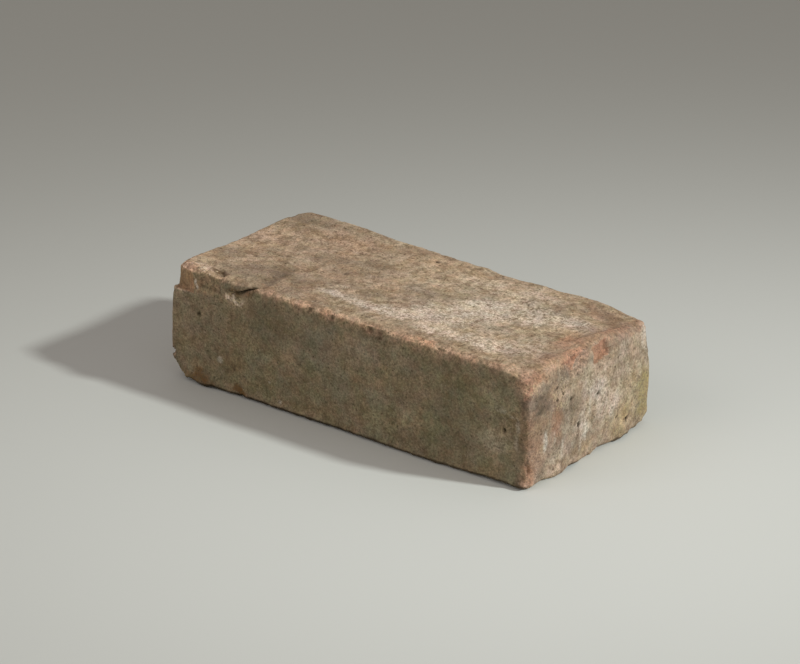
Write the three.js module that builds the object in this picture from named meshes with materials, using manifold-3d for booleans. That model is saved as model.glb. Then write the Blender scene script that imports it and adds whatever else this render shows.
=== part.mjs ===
// Hand-moulded clay brick, fired as one piece: one solid, one mesh. Millimetres, +Z up.
// X runs along the length and Y across the width. The brick lies on its lower bed, which is Z = 0,
// with the origin under its middle. The upper bed is the struck one, where the wet clay was cut
// off level with the mould by hand, so it falls a little towards +X and +Y.
// Left and right are the -X and +X ends (headers), front and back the -Y and +Y long sides
// (stretchers).

import * as THREE from 'three';
import { mergeVertices } from 'three/addons/utils/BufferGeometryUtils.js';
import Module from 'manifold-3d';

const wasm = await Module();
wasm.setup();

// ---- driving dimensions ----

const length = 211; // along X, between the upright arrises
const width = 98; // along Y, between the upright arrises
const height = 57; // along Z, at the middle of the struck bed
const strikeFallAlong = 2.2; // how much lower the struck bed is at the right header than at the left
const strikeFallAcross = 2.7; // how much lower it is at the back than at the front
const cornerRadii = { frontLeft: 3.5, backLeft: 8, backRight: 4.5, frontRight: 4 }; // upright arrises
const topEdgeRadius = 3.8; // the arrises round the struck bed
const bottomEdgeRadius = 1.8; // the arrises round the lower bed
const headerBulge = 1.6; // swell at the middle of the two ends
const stretcherBulge = 1.1; // swell at the middle of the two long sides
const waveHeight = 0.3; // unevenness that the mould and the drying left in the faces
const trueBedRadius = 18; // the struck bed is plane this far round its middle
const wavyBedRadius = 45; // and fully wavy from here outwards
const gridStep = 7.4; // spacing of the grid on the open faces

const footFlare = 1.5; // how far the front's foot was pressed out under the mould
const footHeight = 6; // height over which that fades out
const footDepth = 3.5; // and depth behind the front

const bulgeDepth = 14; // depth behind a face over which its swell fades out
const bulgeLostAtCorner = 0.5; // share of a swell that is gone at the upright arrises
const chipRoughness = 0.16; // unevenness of a broken face, as a share of the chip's size
const pitRoughness = 0.25; // the same for a pit

// ---- places on the block ----

const fromLeft = (distance) => distance - length / 2;
const fromRight = (distance) => length / 2 - distance;
const fromFront = (distance) => distance - width / 2;
const fromBack = (distance) => width / 2 - distance;

// Where the clay was drawn out, pressed in or worn away: each moves the surface near a point by
// push, fading out over its reach.
const swells = [
  { at: [fromLeft(14), fromBack(4), height], reach: 46, push: [0, 0, 2.4] }, // drawn up with the mould
  { at: [fromLeft(3), fromBack(9), height], reach: 9, push: [0, 0, -1.5] }, // dented
  { at: [fromLeft(46), fromBack(0), height], reach: 28, push: [0, 0, 1.4] }, // drawn up
  { at: [fromLeft(127), fromBack(0), height], reach: 26, push: [0, 0, -1.5] }, // worn low
  { at: [fromLeft(95), fromBack(0), height], reach: 28, push: [0, 0, -0.7] }, // worn low
  { at: [fromLeft(113), fromBack(0), height], reach: 13, push: [0, 0, 2.4] }, // left standing between
  { at: [fromRight(0), fromBack(0), height], reach: 40, push: [0, 0, -2.6] }, // worn corner
  { at: [fromRight(22), fromBack(0), height], reach: 15, push: [0, 0, 0.9] }, // left standing
  { at: [fromRight(0), fromBack(0), height], reach: 24, push: [-1.3, -0.9, 0] }, // rubbed back
  { at: [fromRight(0), fromBack(0), 42], reach: 14, push: [-1, -0.4, 0] }, // and further below
  { at: [fromRight(0), fromFront(0), height], reach: 15, push: [-1.6, 1.2, -1.6] }, // worn corner
  { at: [fromLeft(0), fromFront(18), height], reach: 16, push: [0, 0, 0.9] }, // drawn up
  { at: [fromLeft(0), fromBack(36), height], reach: 15, push: [0, 0, 0.5] }, // drawn up
  { at: [fromLeft(161), fromBack(0), height], reach: 12, push: [0, 0, -0.6] }, // dented
  { at: [fromLeft(39), fromFront(3), height], reach: 15, push: [0, -2.2, 1.1] }, // the fold's lip
  { at: [fromLeft(27), fromFront(1), height], reach: 12, push: [0, -0.4, 0.3] }, // and its left end
  { at: [fromLeft(0), fromFront(0), 12], reach: 18, push: [-1.9, -0.5, 0] }, // slumped out
  { at: [fromLeft(0), fromFront(0), 33], reach: 21, push: [-1.2, -0.3, 0] }, // slumped out
  { at: [fromRight(69), fromFront(0), 6], reach: 36, push: [0, -1, 0] }, // slumped out
  { at: [fromLeft(20), fromFront(0), 2], reach: 12, push: [0, -1.2, 0] }, // slumped out
  { at: [fromRight(0), fromFront(24), 1], reach: 11, push: [1.7, 0, 0] }, // slumped out
  { at: [fromRight(0), fromBack(24), 1], reach: 11, push: [1.5, 0, 0] }, // slumped out
];

// ---- the block ----

// Moves the corner between two faces onto an arc. u and v are the depths of a point below the
// two faces; a point on either face within r of the edge goes to the arc of radius r.
function roundPair(u, v, r) {
  const centreU = Math.max(u, r);
  const centreV = Math.max(v, r);
  const du = u - centreU;
  const dv = v - centreV;
  const reach = Math.hypot(du, dv);
  return reach < 1e-9 ? [u, v] : [centreU + (du * r) / reach, centreV + (dv * r) / reach];
}

// Depths from an edge at which grid lines run, so that roundPair spreads them evenly on its arc.
function arcLines(r) {
  return [45, 30, 15, 0].map((angle) => r * (1 - Math.tan(THREE.MathUtils.degToRad(angle))));
}

// Depths of the grid lines over the upright arrises, outside those over the struck bed's arrises.
function cornerLines() {
  const widest = Math.max(...Object.values(cornerRadii));
  return arcLines(widest).filter((depth) => depth > topEdgeRadius + 0.5);
}

// Grid lines across a span: the given depths at its start and end, and even steps between.
function gridLines(span, startDepths, endDepths) {
  const first = startDepths.at(-1);
  const last = span - endDepths.at(-1);
  const steps = Math.max(2, Math.round((last - first) / gridStep));
  const between = Array.from({ length: steps - 1 }, (_, i) => first + ((last - first) * (i + 1)) / steps);
  return [...startDepths, ...between, ...endDepths.map((depth) => span - depth).reverse()];
}

// Height of the struck plane, as it was cut, above a point of the plan.
function struckHeight(x, y) {
  return height - (strikeFallAlong * x) / length - (strikeFallAcross * y) / width;
}

// Long, low waves, about one unit high, different for each phase.
function wave(p, phase) {
  return (
    0.5 * Math.sin(p.x / 13 + p.y / 21 + p.z / 17 + 2.1 * phase) +
    0.3 * Math.sin(p.x / 7.6 - p.y / 9.5 + p.z / 11 + 4.7 * phase) +
    0.2 * Math.sin(p.y / 6.1 + p.x / 24 - p.z / 7.2 + 1.3 * phase)
  );
}

// Rounds the block's edges: from a point on the sharp block to one on the rounded block.
function roundEdges(p) {
  const inset = Math.min(length / 2 - Math.abs(p.x), width / 2 - Math.abs(p.y));
  const isUpper = p.z > height / 2;
  const edgeRadius = isUpper ? topEdgeRadius : bottomEdgeRadius;
  const [depthIn, depthDown] = roundPair(inset, isUpper ? height - p.z : p.z, edgeRadius);

  // The ring of the plan that the point lies on, moved in or out, with its corners rounded.
  const ringX = length / 2 - depthIn;
  const ringY = width / 2 - depthIn;
  const scaleX = inset < edgeRadius ? ringX / (length / 2 - inset) : 1;
  const scaleY = inset < edgeRadius ? ringY / (width / 2 - inset) : 1;
  const cornerRadius = cornerRadii[(p.y < 0 ? 'front' : 'back') + (p.x < 0 ? 'Left' : 'Right')];
  const fromX = ringX - Math.abs(p.x) * scaleX;
  const fromY = ringY - Math.abs(p.y) * scaleY;
  const [inX, inY] = roundPair(fromX, fromY, Math.max(cornerRadius - depthIn, 0));
  return new THREE.Vector3(
    Math.sign(p.x) * (ringX - inX),
    Math.sign(p.y) * (ringY - inY),
    isUpper ? height - depthDown : depthDown,
  );
}

// How far a side stands out beyond the sharp block. The swell is fullest at mid height.
// along is the place along the side, from -1 to 1.
function standOut(bulge, along, z) {
  return bulge * (1 - bulgeLostAtCorner * along ** 2) * (1 - (z / (height / 2) - 1) ** 2);
}

// 0 at the middle of the struck bed, which is true, and 1 at its rim and on the sides.
function waviness(q) {
  const fromMiddle = Math.hypot(q.x, q.y);
  return THREE.MathUtils.smoothstep(fromMiddle, trueBedRadius, wavyBedRadius);
}

// Takes a point on the sharp block to the moulded one: round edges, swollen sides, struck top.
// Nothing is moved up or down at the lower bed, which stays plane.
function mouldPoint(onBlock) {
  const q = roundEdges(onBlock);
  const nearHeader = THREE.MathUtils.smoothstep(Math.abs(q.x), length / 2 - bulgeDepth, length / 2);
  const nearStretcher = THREE.MathUtils.smoothstep(Math.abs(q.y), width / 2 - bulgeDepth, width / 2);
  const outX = nearHeader * standOut(headerBulge, q.y / (width / 2), q.z);
  const outY = nearStretcher * standOut(stretcherBulge, q.x / (length / 2), q.z);
  const loose = waveHeight * waviness(q);
  const rise = q.z / height;
  const p = new THREE.Vector3(
    q.x + Math.sign(q.x) * outX + loose * wave(q, 0),
    q.y + Math.sign(q.y) * outY + loose * wave(q, 1),
    rise * (struckHeight(q.x, q.y) + loose * wave(q, 2)),
  );
  for (const { at, reach, push } of swells) {
    const share = Math.max(1 - p.distanceToSquared(new THREE.Vector3(...at)) / reach ** 2, 0) ** 2;
    p.add(new THREE.Vector3(push[0], push[1], push[2] * rise).multiplyScalar(share));
  }
  const low = 1 - THREE.MathUtils.smoothstep(p.z, 0, footHeight);
  p.y -= footFlare * low * (1 - THREE.MathUtils.smoothstep(p.y, fromFront(0), fromFront(footDepth)));
  return p;
}

// The block's grid: a box whose lines crowd together over the edges, moulded point by point.
function blockGeometry() {
  const upperArc = arcLines(topEdgeRadius);
  const sideDepths = [...upperArc, ...cornerLines()];
  const linesX = gridLines(length, sideDepths, sideDepths);
  const linesY = gridLines(width, sideDepths, sideDepths);
  const linesZ = gridLines(height, arcLines(bottomEdgeRadius), upperArc);
  const counts = [linesX, linesY, linesZ].map((lines) => lines.length - 1);
  const geometry = new THREE.BoxGeometry(1, 1, 1, ...counts);
  const position = geometry.attributes.position;
  for (let i = 0; i < position.count; i++) {
    const onBlock = new THREE.Vector3(
      linesX[Math.round((position.getX(i) + 0.5) * counts[0])] - length / 2,
      linesY[Math.round((position.getY(i) + 0.5) * counts[1])] - width / 2,
      linesZ[Math.round((position.getZ(i) + 0.5) * counts[2])],
    );
    position.setXYZ(i, ...mouldPoint(onBlock).toArray());
  }
  return geometry;
}

// ---- solids ----

// A closed solid from a geometry's triangles, with the points that its faces share made one.
function toSolid(geometry) {
  const bare = geometry.clone();
  bare.deleteAttribute('normal');
  bare.deleteAttribute('uv');
  const merged = mergeVertices(bare, 1e-4);
  return new wasm.Manifold(
    new wasm.Mesh({
      numProp: 3,
      vertProperties: new Float32Array(merged.attributes.position.array),
      triVerts: new Uint32Array(merged.index.array),
    }),
  );
}

function toGeometry(solid) {
  const mesh = solid.getMesh();
  const geometry = new THREE.BufferGeometry();
  geometry.setAttribute('position', new THREE.BufferAttribute(mesh.vertProperties, 3));
  geometry.setIndex(new THREE.BufferAttribute(mesh.triVerts, 1));
  geometry.computeVertexNormals();
  return geometry;
}

// A number between -1 and 1 that depends only on its seed.
function scatter(seed) {
  const s = Math.sin(seed * 127.1 + 11.7) * 43758.5453;
  return 2 * (s - Math.floor(s)) - 1;
}

// An uneven ellipsoid, to be broken out of the block. half gives its half axes and turn its
// angles about X, Y and Z in degrees.
function lump({ at, half, turn = [0, 0, 0], detail = 1, roughness = chipRoughness }, seed) {
  const bare = new THREE.IcosahedronGeometry(1, detail);
  bare.deleteAttribute('normal');
  bare.deleteAttribute('uv');
  const ball = mergeVertices(bare, 1e-4);
  const position = ball.attributes.position;
  for (let i = 0; i < position.count; i++) {
    const swell = 1 + roughness * scatter(seed * 61 + i);
    position.setXYZ(i, position.getX(i) * swell, position.getY(i) * swell, position.getZ(i) * swell);
  }
  const angles = turn.map((angle) => THREE.MathUtils.degToRad(angle));
  ball.scale(...half);
  ball.applyMatrix4(new THREE.Matrix4().makeRotationFromEuler(new THREE.Euler(...angles)));
  ball.translate(...at);
  return toSolid(ball);
}

// A flat-faced flake, to be split off the block. Its split face looks along facing and has the
// given width and height; at is the middle of that face's lower border. roll turns it about facing.
function flake({ at, facing, wide, tall, roll = 0 }) {
  const outward = new THREE.Vector3(...facing).normalize();
  const across = new THREE.Vector3(0, 0, 1).cross(outward).normalize();
  across.applyAxisAngle(outward, THREE.MathUtils.degToRad(roll));
  const upward = new THREE.Vector3().crossVectors(outward, across);
  const thick = Math.max(wide, tall);
  const box = new THREE.BoxGeometry(wide, tall, thick).translate(0, tall / 2, thick / 2);
  box.applyMatrix4(new THREE.Matrix4().makeBasis(across, upward, outward));
  box.translate(...at);
  return toSolid(box);
}

// ---- chips, breaks and pits ----

function belowTop(x, y, down) {
  return [x, y, struckHeight(x, y) - down];
}

// Chips out of the arrises round the struck bed.
const topChips = [
  { at: belowTop(fromLeft(26), fromFront(4), -0.5), half: [9, 6.5, 1.9], turn: [0, 0, -15] },
  { at: belowTop(fromLeft(85), fromFront(-0.4), 1.4), half: [2.1, 1.9, 2.6], turn: [0, 25, 0] },
  { at: belowTop(fromLeft(98.5), fromFront(-0.4), 2), half: [2.4, 1.7, 1.9], turn: [0, 30, 0] },
  { at: belowTop(fromLeft(121.5), fromFront(-0.4), 2.4), half: [2.2, 1.7, 1.6], turn: [0, 20, 0] },
  { at: belowTop(fromLeft(127.5), fromFront(-0.4), 2.8), half: [1.4, 1.6, 3.4], turn: [0, 5, 0] },
  { at: belowTop(fromRight(49), fromFront(-0.4), 1.6), half: [3.4, 1.6, 1.6], turn: [0, -8, 0] },
  { at: belowTop(fromRight(-0.9), fromFront(35.5), 4.2), half: [2.6, 10.5, 4.6], turn: [0, 0, 3] },
  { at: belowTop(fromRight(-0.7), fromFront(35.5), 8.2), half: [2.2, 4.5, 3.4], turn: [0, 0, 3] },
  { at: belowTop(fromRight(0.8), fromBack(1), 4.6), half: [3, 3.4, 1.6], turn: [0, 0, 40] },
  { at: belowTop(fromLeft(88), fromBack(-0.8), 2.4), half: [5, 2, 1.7] },
];

// The deep, narrow gouge under the folded skin of the struck bed. It climbs to the bed's arris.
const gouge = {
  at: belowTop(fromLeft(42), fromFront(-0.2), 3.9),
  half: [11, 4.4, 1.7],
  turn: [0, -18, 0],
};

// Chips out of the arrises round the lower bed, and out of the upright ones.
const lowerChips = [
  { at: [fromLeft(-1.2), fromFront(0), 12.9], half: [3.2, 3, 1.8], turn: [0, -12, 0] },
  { at: [fromLeft(12), fromFront(-1.6), 0], half: [6, 2.6, 2.2] },
  { at: [fromLeft(43.5), fromFront(-1.8), 0], half: [3.2, 2.6, 1.9] },
  { at: [fromRight(23.5), fromFront(-1.8), 0], half: [2.6, 2.6, 1.5] },
  { at: [fromRight(-0.2), fromFront(0.2), 12], half: [1.7, 1.7, 4.2] },
  { at: [fromRight(-0.6), fromFront(12), 0], half: [2, 4, 1.5] },
  { at: [fromRight(-0.8), fromFront(31), 0], half: [2.3, 3.2, 2.2], turn: [20, 0, 0] },
  { at: [fromRight(-0.8), fromFront(49), 0], half: [2, 4.5, 2], turn: [-10, 0, 0] },
  { at: [fromRight(-0.8), fromBack(41), 0], half: [2.4, 6.5, 3], turn: [-14, 0, 0] },
  { at: [fromLeft(80), fromBack(-0.8), 0], half: [6, 2.1, 2] },
];

// Flat-faced breaks: the flake off the upper corner at front left, down to a ledge, with the slope
// above it and the shallower break beside it; the break off the lower corner below; the spall in
// the right header's top arris; the broken lower corner at back right.
const ledgeHeight = 46.9;
const flakes = [
  { at: [fromLeft(5), fromFront(-3.1), 54.2], facing: [-0.21, -0.42, 0.88], wide: 17, tall: 15 },
  { at: [fromLeft(6.4), fromFront(2.9), ledgeHeight], facing: [-0.36, -0.93, 0], wide: 15, tall: 22 },
  {
    at: [fromLeft(26.5), fromFront(0.6), 52.8],
    facing: [-0.06, -1, 0.06],
    wide: 14,
    tall: 12,
    roll: -4,
  },
  { at: [fromLeft(12.5), fromFront(1), -3], facing: [-0.65, -0.2, -0.73], wide: 26, tall: 24 },
  {
    at: [fromRight(-0.2), fromBack(44.5), 45.6],
    facing: [1, 0.14, 0.02],
    wide: 12.5,
    tall: 20,
    roll: 17,
  },
  { at: [fromRight(4), fromBack(16), -4], facing: [0.62, 0.31, -0.72], wide: 60, tall: 40 },
];

// Pits where a pebble fell out or a bubble broke open: on the right header (y, z), on the front
// stretcher (x, z) and in the struck bed (x, y), each with its radius.
const headerPits = [
  [fromBack(44.9), 31, 1.1],
  [fromFront(20.6), 44.2, 0.9],
  [fromFront(37.7), 20.5, 1.1],
  [fromBack(20.5), 9.3, 1.1],
  [fromBack(29.2), 12.9, 0.9],
  [fromFront(20.4), 38.4, 0.9],
  [fromFront(25.3), 40.1, 0.9],
  [fromFront(31.7), 35.5, 0.9],
];
const stretcherPits = [
  [fromRight(12.5), 27.5, 1.1],
  [fromLeft(16.4), 37.2, 1.1],
];
const bedPits = [
  [fromLeft(93.9), fromBack(12.1), 1.1],
  [fromLeft(71.1), fromFront(45.3), 1],
];

function pit(at, radius) {
  return { at, half: [radius, radius, radius], detail: 0, roughness: pitRoughness };
}

function allPits() {
  const onHeader = (y, z) => [fromRight(-standOut(headerBulge, y / (width / 2), z)), y, z];
  const onStretcher = (x, z) => [x, fromFront(-standOut(stretcherBulge, x / (length / 2), z)), z];
  return [
    ...headerPits.map(([y, z, radius]) => pit(onHeader(y, z), radius)),
    ...stretcherPits.map(([x, z, radius]) => pit(onStretcher(x, z), radius)),
    ...bedPits.map(([x, y, radius]) => pit(belowTop(x, y, 0), radius)),
  ];
}

// ---- the brick ----

function brickGeometry() {
  const lumps = [...topChips, gouge, ...lowerChips, ...allPits()];
  const broken = [...flakes.map(flake), ...lumps.map((chip, i) => lump(chip, i + 1))];
  let solid = toSolid(blockGeometry());
  for (const piece of broken) solid = solid.subtract(piece);
  return toGeometry(solid);
}

const firedClay = new THREE.MeshStandardMaterial({
  name: 'fired_clay',
  color: new THREE.Color('#9a8266'),
  roughness: 0.93,
  metalness: 0,
  flatShading: true,
});

const brick = new THREE.Mesh(brickGeometry(), firedClay);
brick.name = 'brick';

const group = new THREE.Group();
group.add(brick);

export default group;
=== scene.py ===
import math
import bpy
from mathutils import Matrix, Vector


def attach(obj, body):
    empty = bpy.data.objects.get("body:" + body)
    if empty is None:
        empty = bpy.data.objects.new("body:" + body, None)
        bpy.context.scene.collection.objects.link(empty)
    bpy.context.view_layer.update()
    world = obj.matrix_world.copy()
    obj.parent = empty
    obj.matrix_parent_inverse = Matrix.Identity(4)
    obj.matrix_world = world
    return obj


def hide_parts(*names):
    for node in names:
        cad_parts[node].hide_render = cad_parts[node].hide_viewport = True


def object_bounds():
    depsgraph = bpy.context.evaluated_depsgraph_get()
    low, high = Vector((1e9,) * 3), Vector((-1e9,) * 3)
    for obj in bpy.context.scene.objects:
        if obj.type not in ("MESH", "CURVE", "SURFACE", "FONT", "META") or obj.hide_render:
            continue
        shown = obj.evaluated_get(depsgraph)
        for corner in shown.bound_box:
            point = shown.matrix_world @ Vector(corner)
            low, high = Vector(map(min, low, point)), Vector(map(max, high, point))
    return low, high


bl_info = {
    "name": "Old hand-moulded brick",
    "version": (1, 0, 0),
    "blender": (4, 5, 0),
    "location": "3D View > Sidebar > Brick",
    "description": "A worn, fired clay brick in a plain studio, built round its packed frame",
    "category": "Add Mesh",
}

import bpy
import numpy as np
from mathutils import Matrix, Vector

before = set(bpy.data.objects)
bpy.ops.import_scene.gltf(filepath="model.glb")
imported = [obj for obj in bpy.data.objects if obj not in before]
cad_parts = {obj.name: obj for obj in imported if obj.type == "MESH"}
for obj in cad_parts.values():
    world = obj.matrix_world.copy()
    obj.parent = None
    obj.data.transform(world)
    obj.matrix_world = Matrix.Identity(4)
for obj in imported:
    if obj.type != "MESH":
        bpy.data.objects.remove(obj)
CAD_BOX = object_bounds()

MM = 0.001  # lengths are worked out in millimetres and put into the mesh in metres


def paint(code):
    """Linear red, green and blue of a paint chart code such as b59e83."""
    shares = [int(code[i : i + 2], 16) / 255 for i in (0, 2, 4)]
    return [s / 12.92 if s <= 0.04045 else ((s + 0.055) / 1.055) ** 2.4 for s in shares]


# ---- what a user would change ----


def size_prop(name, description, default):
    """A length in metres, never below 0."""
    return bpy.props.FloatProperty(
        name=name,
        description=description,
        default=default,
        min=0.0,
        precision=5,
        subtype="DISTANCE",
        unit="LENGTH",
    )


def colour_prop(name, description, code):
    """A colour whose default is a paint chart code."""
    return bpy.props.FloatVectorProperty(
        name=name,
        description=description,
        default=paint(code),
        size=3,
        min=0.0,
        max=1.0,
        subtype="COLOR",
    )


def strength_prop(name, description, default):
    """A plain number, never below 0."""
    return bpy.props.FloatProperty(name=name, description=description, default=default, min=0.0)


def angle_prop(name, description, degrees):
    """An angle whose default is given in degrees."""
    return bpy.props.FloatProperty(
        name=name,
        description=description,
        default=math.radians(degrees),
        subtype="ANGLE",
        unit="ROTATION",
    )


class BrickSizes(bpy.types.PropertyGroup):
    """The mould's sizes and how uneven the clay came out of it."""

    length: size_prop("Length", "Along X, between the upright arrises", 0.211)
    width: size_prop("Width", "Along Y, between the upright arrises", 0.098)
    height: size_prop("Height", "At the middle of the struck bed", 0.057)
    fall_along: size_prop("Fall along", "How much lower the struck bed is at the right end", 0.0022)
    fall_across: size_prop("Fall across", "How much lower the struck bed is at the back", 0.0027)
    top_arris: size_prop("Upper arris", "Radius of the arrises round the struck bed", 0.0038)
    bottom_arris: size_prop("Lower arris", "Radius of the arrises round the lower bed", 0.0018)
    header_bulge: size_prop("End bulge", "Swell at the middle of the two ends", 0.0016)
    stretcher_bulge: size_prop("Side bulge", "Swell at the middle of the two long sides", 0.0011)
    wave_height: size_prop("Waves", "Long unevenness of the faces", 0.0003)
    fine_step: size_prop("Fine step", "Spacing of the mesh over arrises and breaks", 0.00062)
    open_step: size_prop("Open step", "Spacing of the mesh on the open faces", 0.00117)


class BrickRelief(bpy.types.PropertyGroup):
    """How rough the clay is."""

    mottle_depth: size_prop("Mottle", "Relief with a width of 5 to 10 mm", 0.00022)
    sand_depth: size_prop("Sand", "Relief with a width of 1.5 to 3 mm", 0.00017)
    nibble_depth: size_prop("Nibbled arris", "How deep the arrises are nibbled away", 0.0007)
    break_depth: size_prop("Broken face", "Relief of the broken faces", 0.00055)
    drag_depth: size_prop("Drag marks", "Depth of the upright grooves on the right end", 0.00008)
    grain_depth: size_prop("Grain", "Relief finer than the mesh, made by the material", 0.00042)


class BrickColours(bpy.types.PropertyGroup):
    """The colours of the clay and of what has settled on it."""

    tan: colour_prop("Tan clay", "Weathered skin of the beds", "c4af93")
    brown: colour_prop("Brown clay", "Darker mottles in the skin", "89765d")
    olive: colour_prop("Side clay", "Skin of the long sides", "8c8064")
    umber: colour_prop("Umber clay", "Darker mottles in the long sides", "74684f")
    slate: colour_prop("Grey clay", "Grey mottles in the long sides", "867f69")
    orange: colour_prop("Orange clay", "Where the skin is thin", "ac8c6c")
    peach: colour_prop("Peach clay", "Arrises rubbed bare", "cea78b")
    red: colour_prop("Red clay", "Fresh breaks", "b5866a")
    split: colour_prop("Split clay", "The flake's smooth face", "97795a")
    cream: colour_prop("Cream", "Flecks on the bared scar", "dcc69c")
    lime: colour_prop("Lime", "Film of lime on the struck bed", "dccbb8")
    chalk: colour_prop("Chalk", "White grains and streaks", "e3dccf")
    # Grey smudges, and also painted shade in a wedge on the bed and on the front's right arris.
    soot_and_shade: colour_prop("Soot", "Grey smudges and dirt", "5e5142")
    # Also the colour of the painted shade in creases, the slit, under the lip, in the gap at the foot and in
    # the pits.
    dirt_and_shade: colour_prop("Dirt", "What fills pits and hollows", "332b1b")
    moss: colour_prop("Moss", "Dry growth by the back right arris", "9d8b5b")
    # Iron spots, and also painted shade in the crease under the lip.
    rust_and_shade: colour_prop("Rust", "Iron spots", "674a20")


class StudioSettings(bpy.types.PropertyGroup):
    """The floor, the lights and the camera."""

    # The floor carries a painted pool of light: floor where it is brightest, floor_far at its edge, and
    # floor_reach how far it spreads.
    floor: colour_prop("Floor", "Pale floor where the light falls", "e0e3de")
    floor_far: colour_prop("Floor, far", "The same floor at the edge of the light", "8c8a84")
    floor_reach: size_prop("Lit reach", "How far the light reaches over the floor", 0.407)
    key: strength_prop("Key", "Strength of the main lamp", 2.18)
    key_width: angle_prop("Key width", "Softness of its shadows", 5.0)
    fill: strength_prop("Fill", "Power of the soft box", 5.0)
    room: strength_prop("Room", "Strength of the light from all round", 0.4)
    lens: bpy.props.FloatProperty(name="Lens", description="Focal length in mm", default=135.0, min=1.0)
    azimuth: angle_prop("Azimuth", "Camera's bearing from the front", 38.316)
    elevation: angle_prop("Elevation", "Camera's height above level", 22.775)
    distance: size_prop("Distance", "From the camera to the middle of the view", 1.423)


# ---- numbers on whole arrays ----


def smoothstep(v, low, high):
    """0 below low, 1 above high, and 3t^2 - 2t^3 between them."""
    t = np.clip((v - low) / (high - low), 0.0, 1.0)
    return t * t * (3.0 - 2.0 * t)


def turned(angles):
    """Turn about X, then Y, then Z by degrees, as the product of the three turning matrices."""
    a, b, c = np.radians(angles)
    about_x = np.array([[1, 0, 0], [0, np.cos(a), -np.sin(a)], [0, np.sin(a), np.cos(a)]])
    about_y = np.array([[np.cos(b), 0, np.sin(b)], [0, 1, 0], [-np.sin(b), 0, np.cos(b)]])
    about_z = np.array([[np.cos(c), -np.sin(c), 0], [np.sin(c), np.cos(c), 0], [0, 0, 1]])
    return about_x @ about_y @ about_z


SLOPES = np.array(
    [(a, b, 0) for a in (1, -1) for b in (1, -1)]
    + [(a, 0, b) for a in (1, -1) for b in (1, -1)]
    + [(0, a, b) for a in (1, -1) for b in (1, -1)]
    + [(1, 1, 0), (-1, 1, 0), (0, -1, 1), (0, -1, -1)],
    float,
)


def noise(p, size, seed):
    """Smooth noise from about -1 to 1. Each corner of a cubic lattice of the given size has a
    slope chosen by scrambling its three indices; a point takes the eight slopes around it,
    each times its offset from that corner, blended by 6t^5 - 15t^4 + 10t^3."""
    q = p / size + seed * np.array([17.31, -9.17, 5.73])
    cell = np.floor(q).astype(np.int64)
    f = q - cell
    fade = f * f * f * (f * (f * 6 - 15) + 10)
    total = np.zeros(len(p))
    for corner in np.ndindex(2, 2, 2):
        key = (cell + corner) @ np.array([73856093, 19349663, 83492791]) + seed * 2654435761
        key = (key ^ (key >> 13)) * 1274126177 & 0x7FFFFFFF
        key ^= key >> 15
        weight = np.where(corner, fade, 1 - fade).prod(1)
        total += weight * (SLOPES[key & 15] * (f - corner)).sum(1)
    return 1.4 * total


def layered(p, size, octaves, seed, keep=0.5):
    """Noise of the given size, plus octaves each half as wide and keep times as high."""
    return sum(keep**i * noise(p, size / 2**i, seed + i) for i in range(octaves))


def warped(p, size, reach, seed):
    """The points moved by up to about reach along each axis, by three noises of the given size."""
    return p + reach * np.stack([noise(p, size, seed + i) for i in range(3)], 1)


def patch(p, spots):
    """How much each point lies in any of the spots, 0 to 1. A spot is a middle, three half
    sizes and a strength; it is full out to 0.5 of its half sizes and gone at 1.2."""
    left = np.ones(len(p))
    for x, y, z, half_x, half_y, half_z, strength in spots:
        away = np.sqrt(((p - (x, y, z)) / (half_x, half_y, half_z)) ** 2 @ np.ones(3))
        left *= 1 - strength * (1 - smoothstep(away, 0.5, 1.2))
    return 1 - left


def beside(p, path):
    """Distance in plan from a bent line, with its sign (+ on the right hand of its run), and the
    share of the line that has been run at the nearest point."""
    best = np.full(len(p), np.inf)
    side = np.zeros(len(p))
    run = np.zeros(len(p))
    for i, (a, b) in enumerate(zip(path[:-1], path[1:])):
        a, b = np.array(a, float), np.array(b, float)
        along = b - a
        t = np.clip(((p[:, :2] - a) @ along) / (along @ along), 0, 1)
        off = p[:, :2] - a - t[:, None] * along
        away = np.hypot(off[:, 0], off[:, 1])
        near = away < best
        best = np.where(near, away, best)
        side = np.where(near, np.sign(along[1] * off[:, 0] - along[0] * off[:, 1]), side)
        run = np.where(near, (i + t) / (len(path) - 1), run)
    return best * side, run


# ---- the mesh of a box ----


def graded_lines(span, fine, open_step, start_zone, end_zone):
    """Lines across a span. Their spacing is fine over the two end zones and opens out between
    them; it is found by adding up 1 / spacing along the span and dividing the sum evenly."""
    x = np.linspace(-span / 2, span / 2, 4001)
    opened = smoothstep(x, -span / 2 + start_zone, -span / 2 + start_zone + 8)
    opened *= 1 - smoothstep(x, span / 2 - end_zone - 8, span / 2 - end_zone)
    rate = 1 / (fine + (open_step - fine) * opened)
    total = np.concatenate([[0], np.cumsum((rate[1:] + rate[:-1]) / 2 * np.diff(x))])
    count = int(round(total[-1]))
    return np.interp(np.linspace(0, total[-1], count + 1), total, x)


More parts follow.
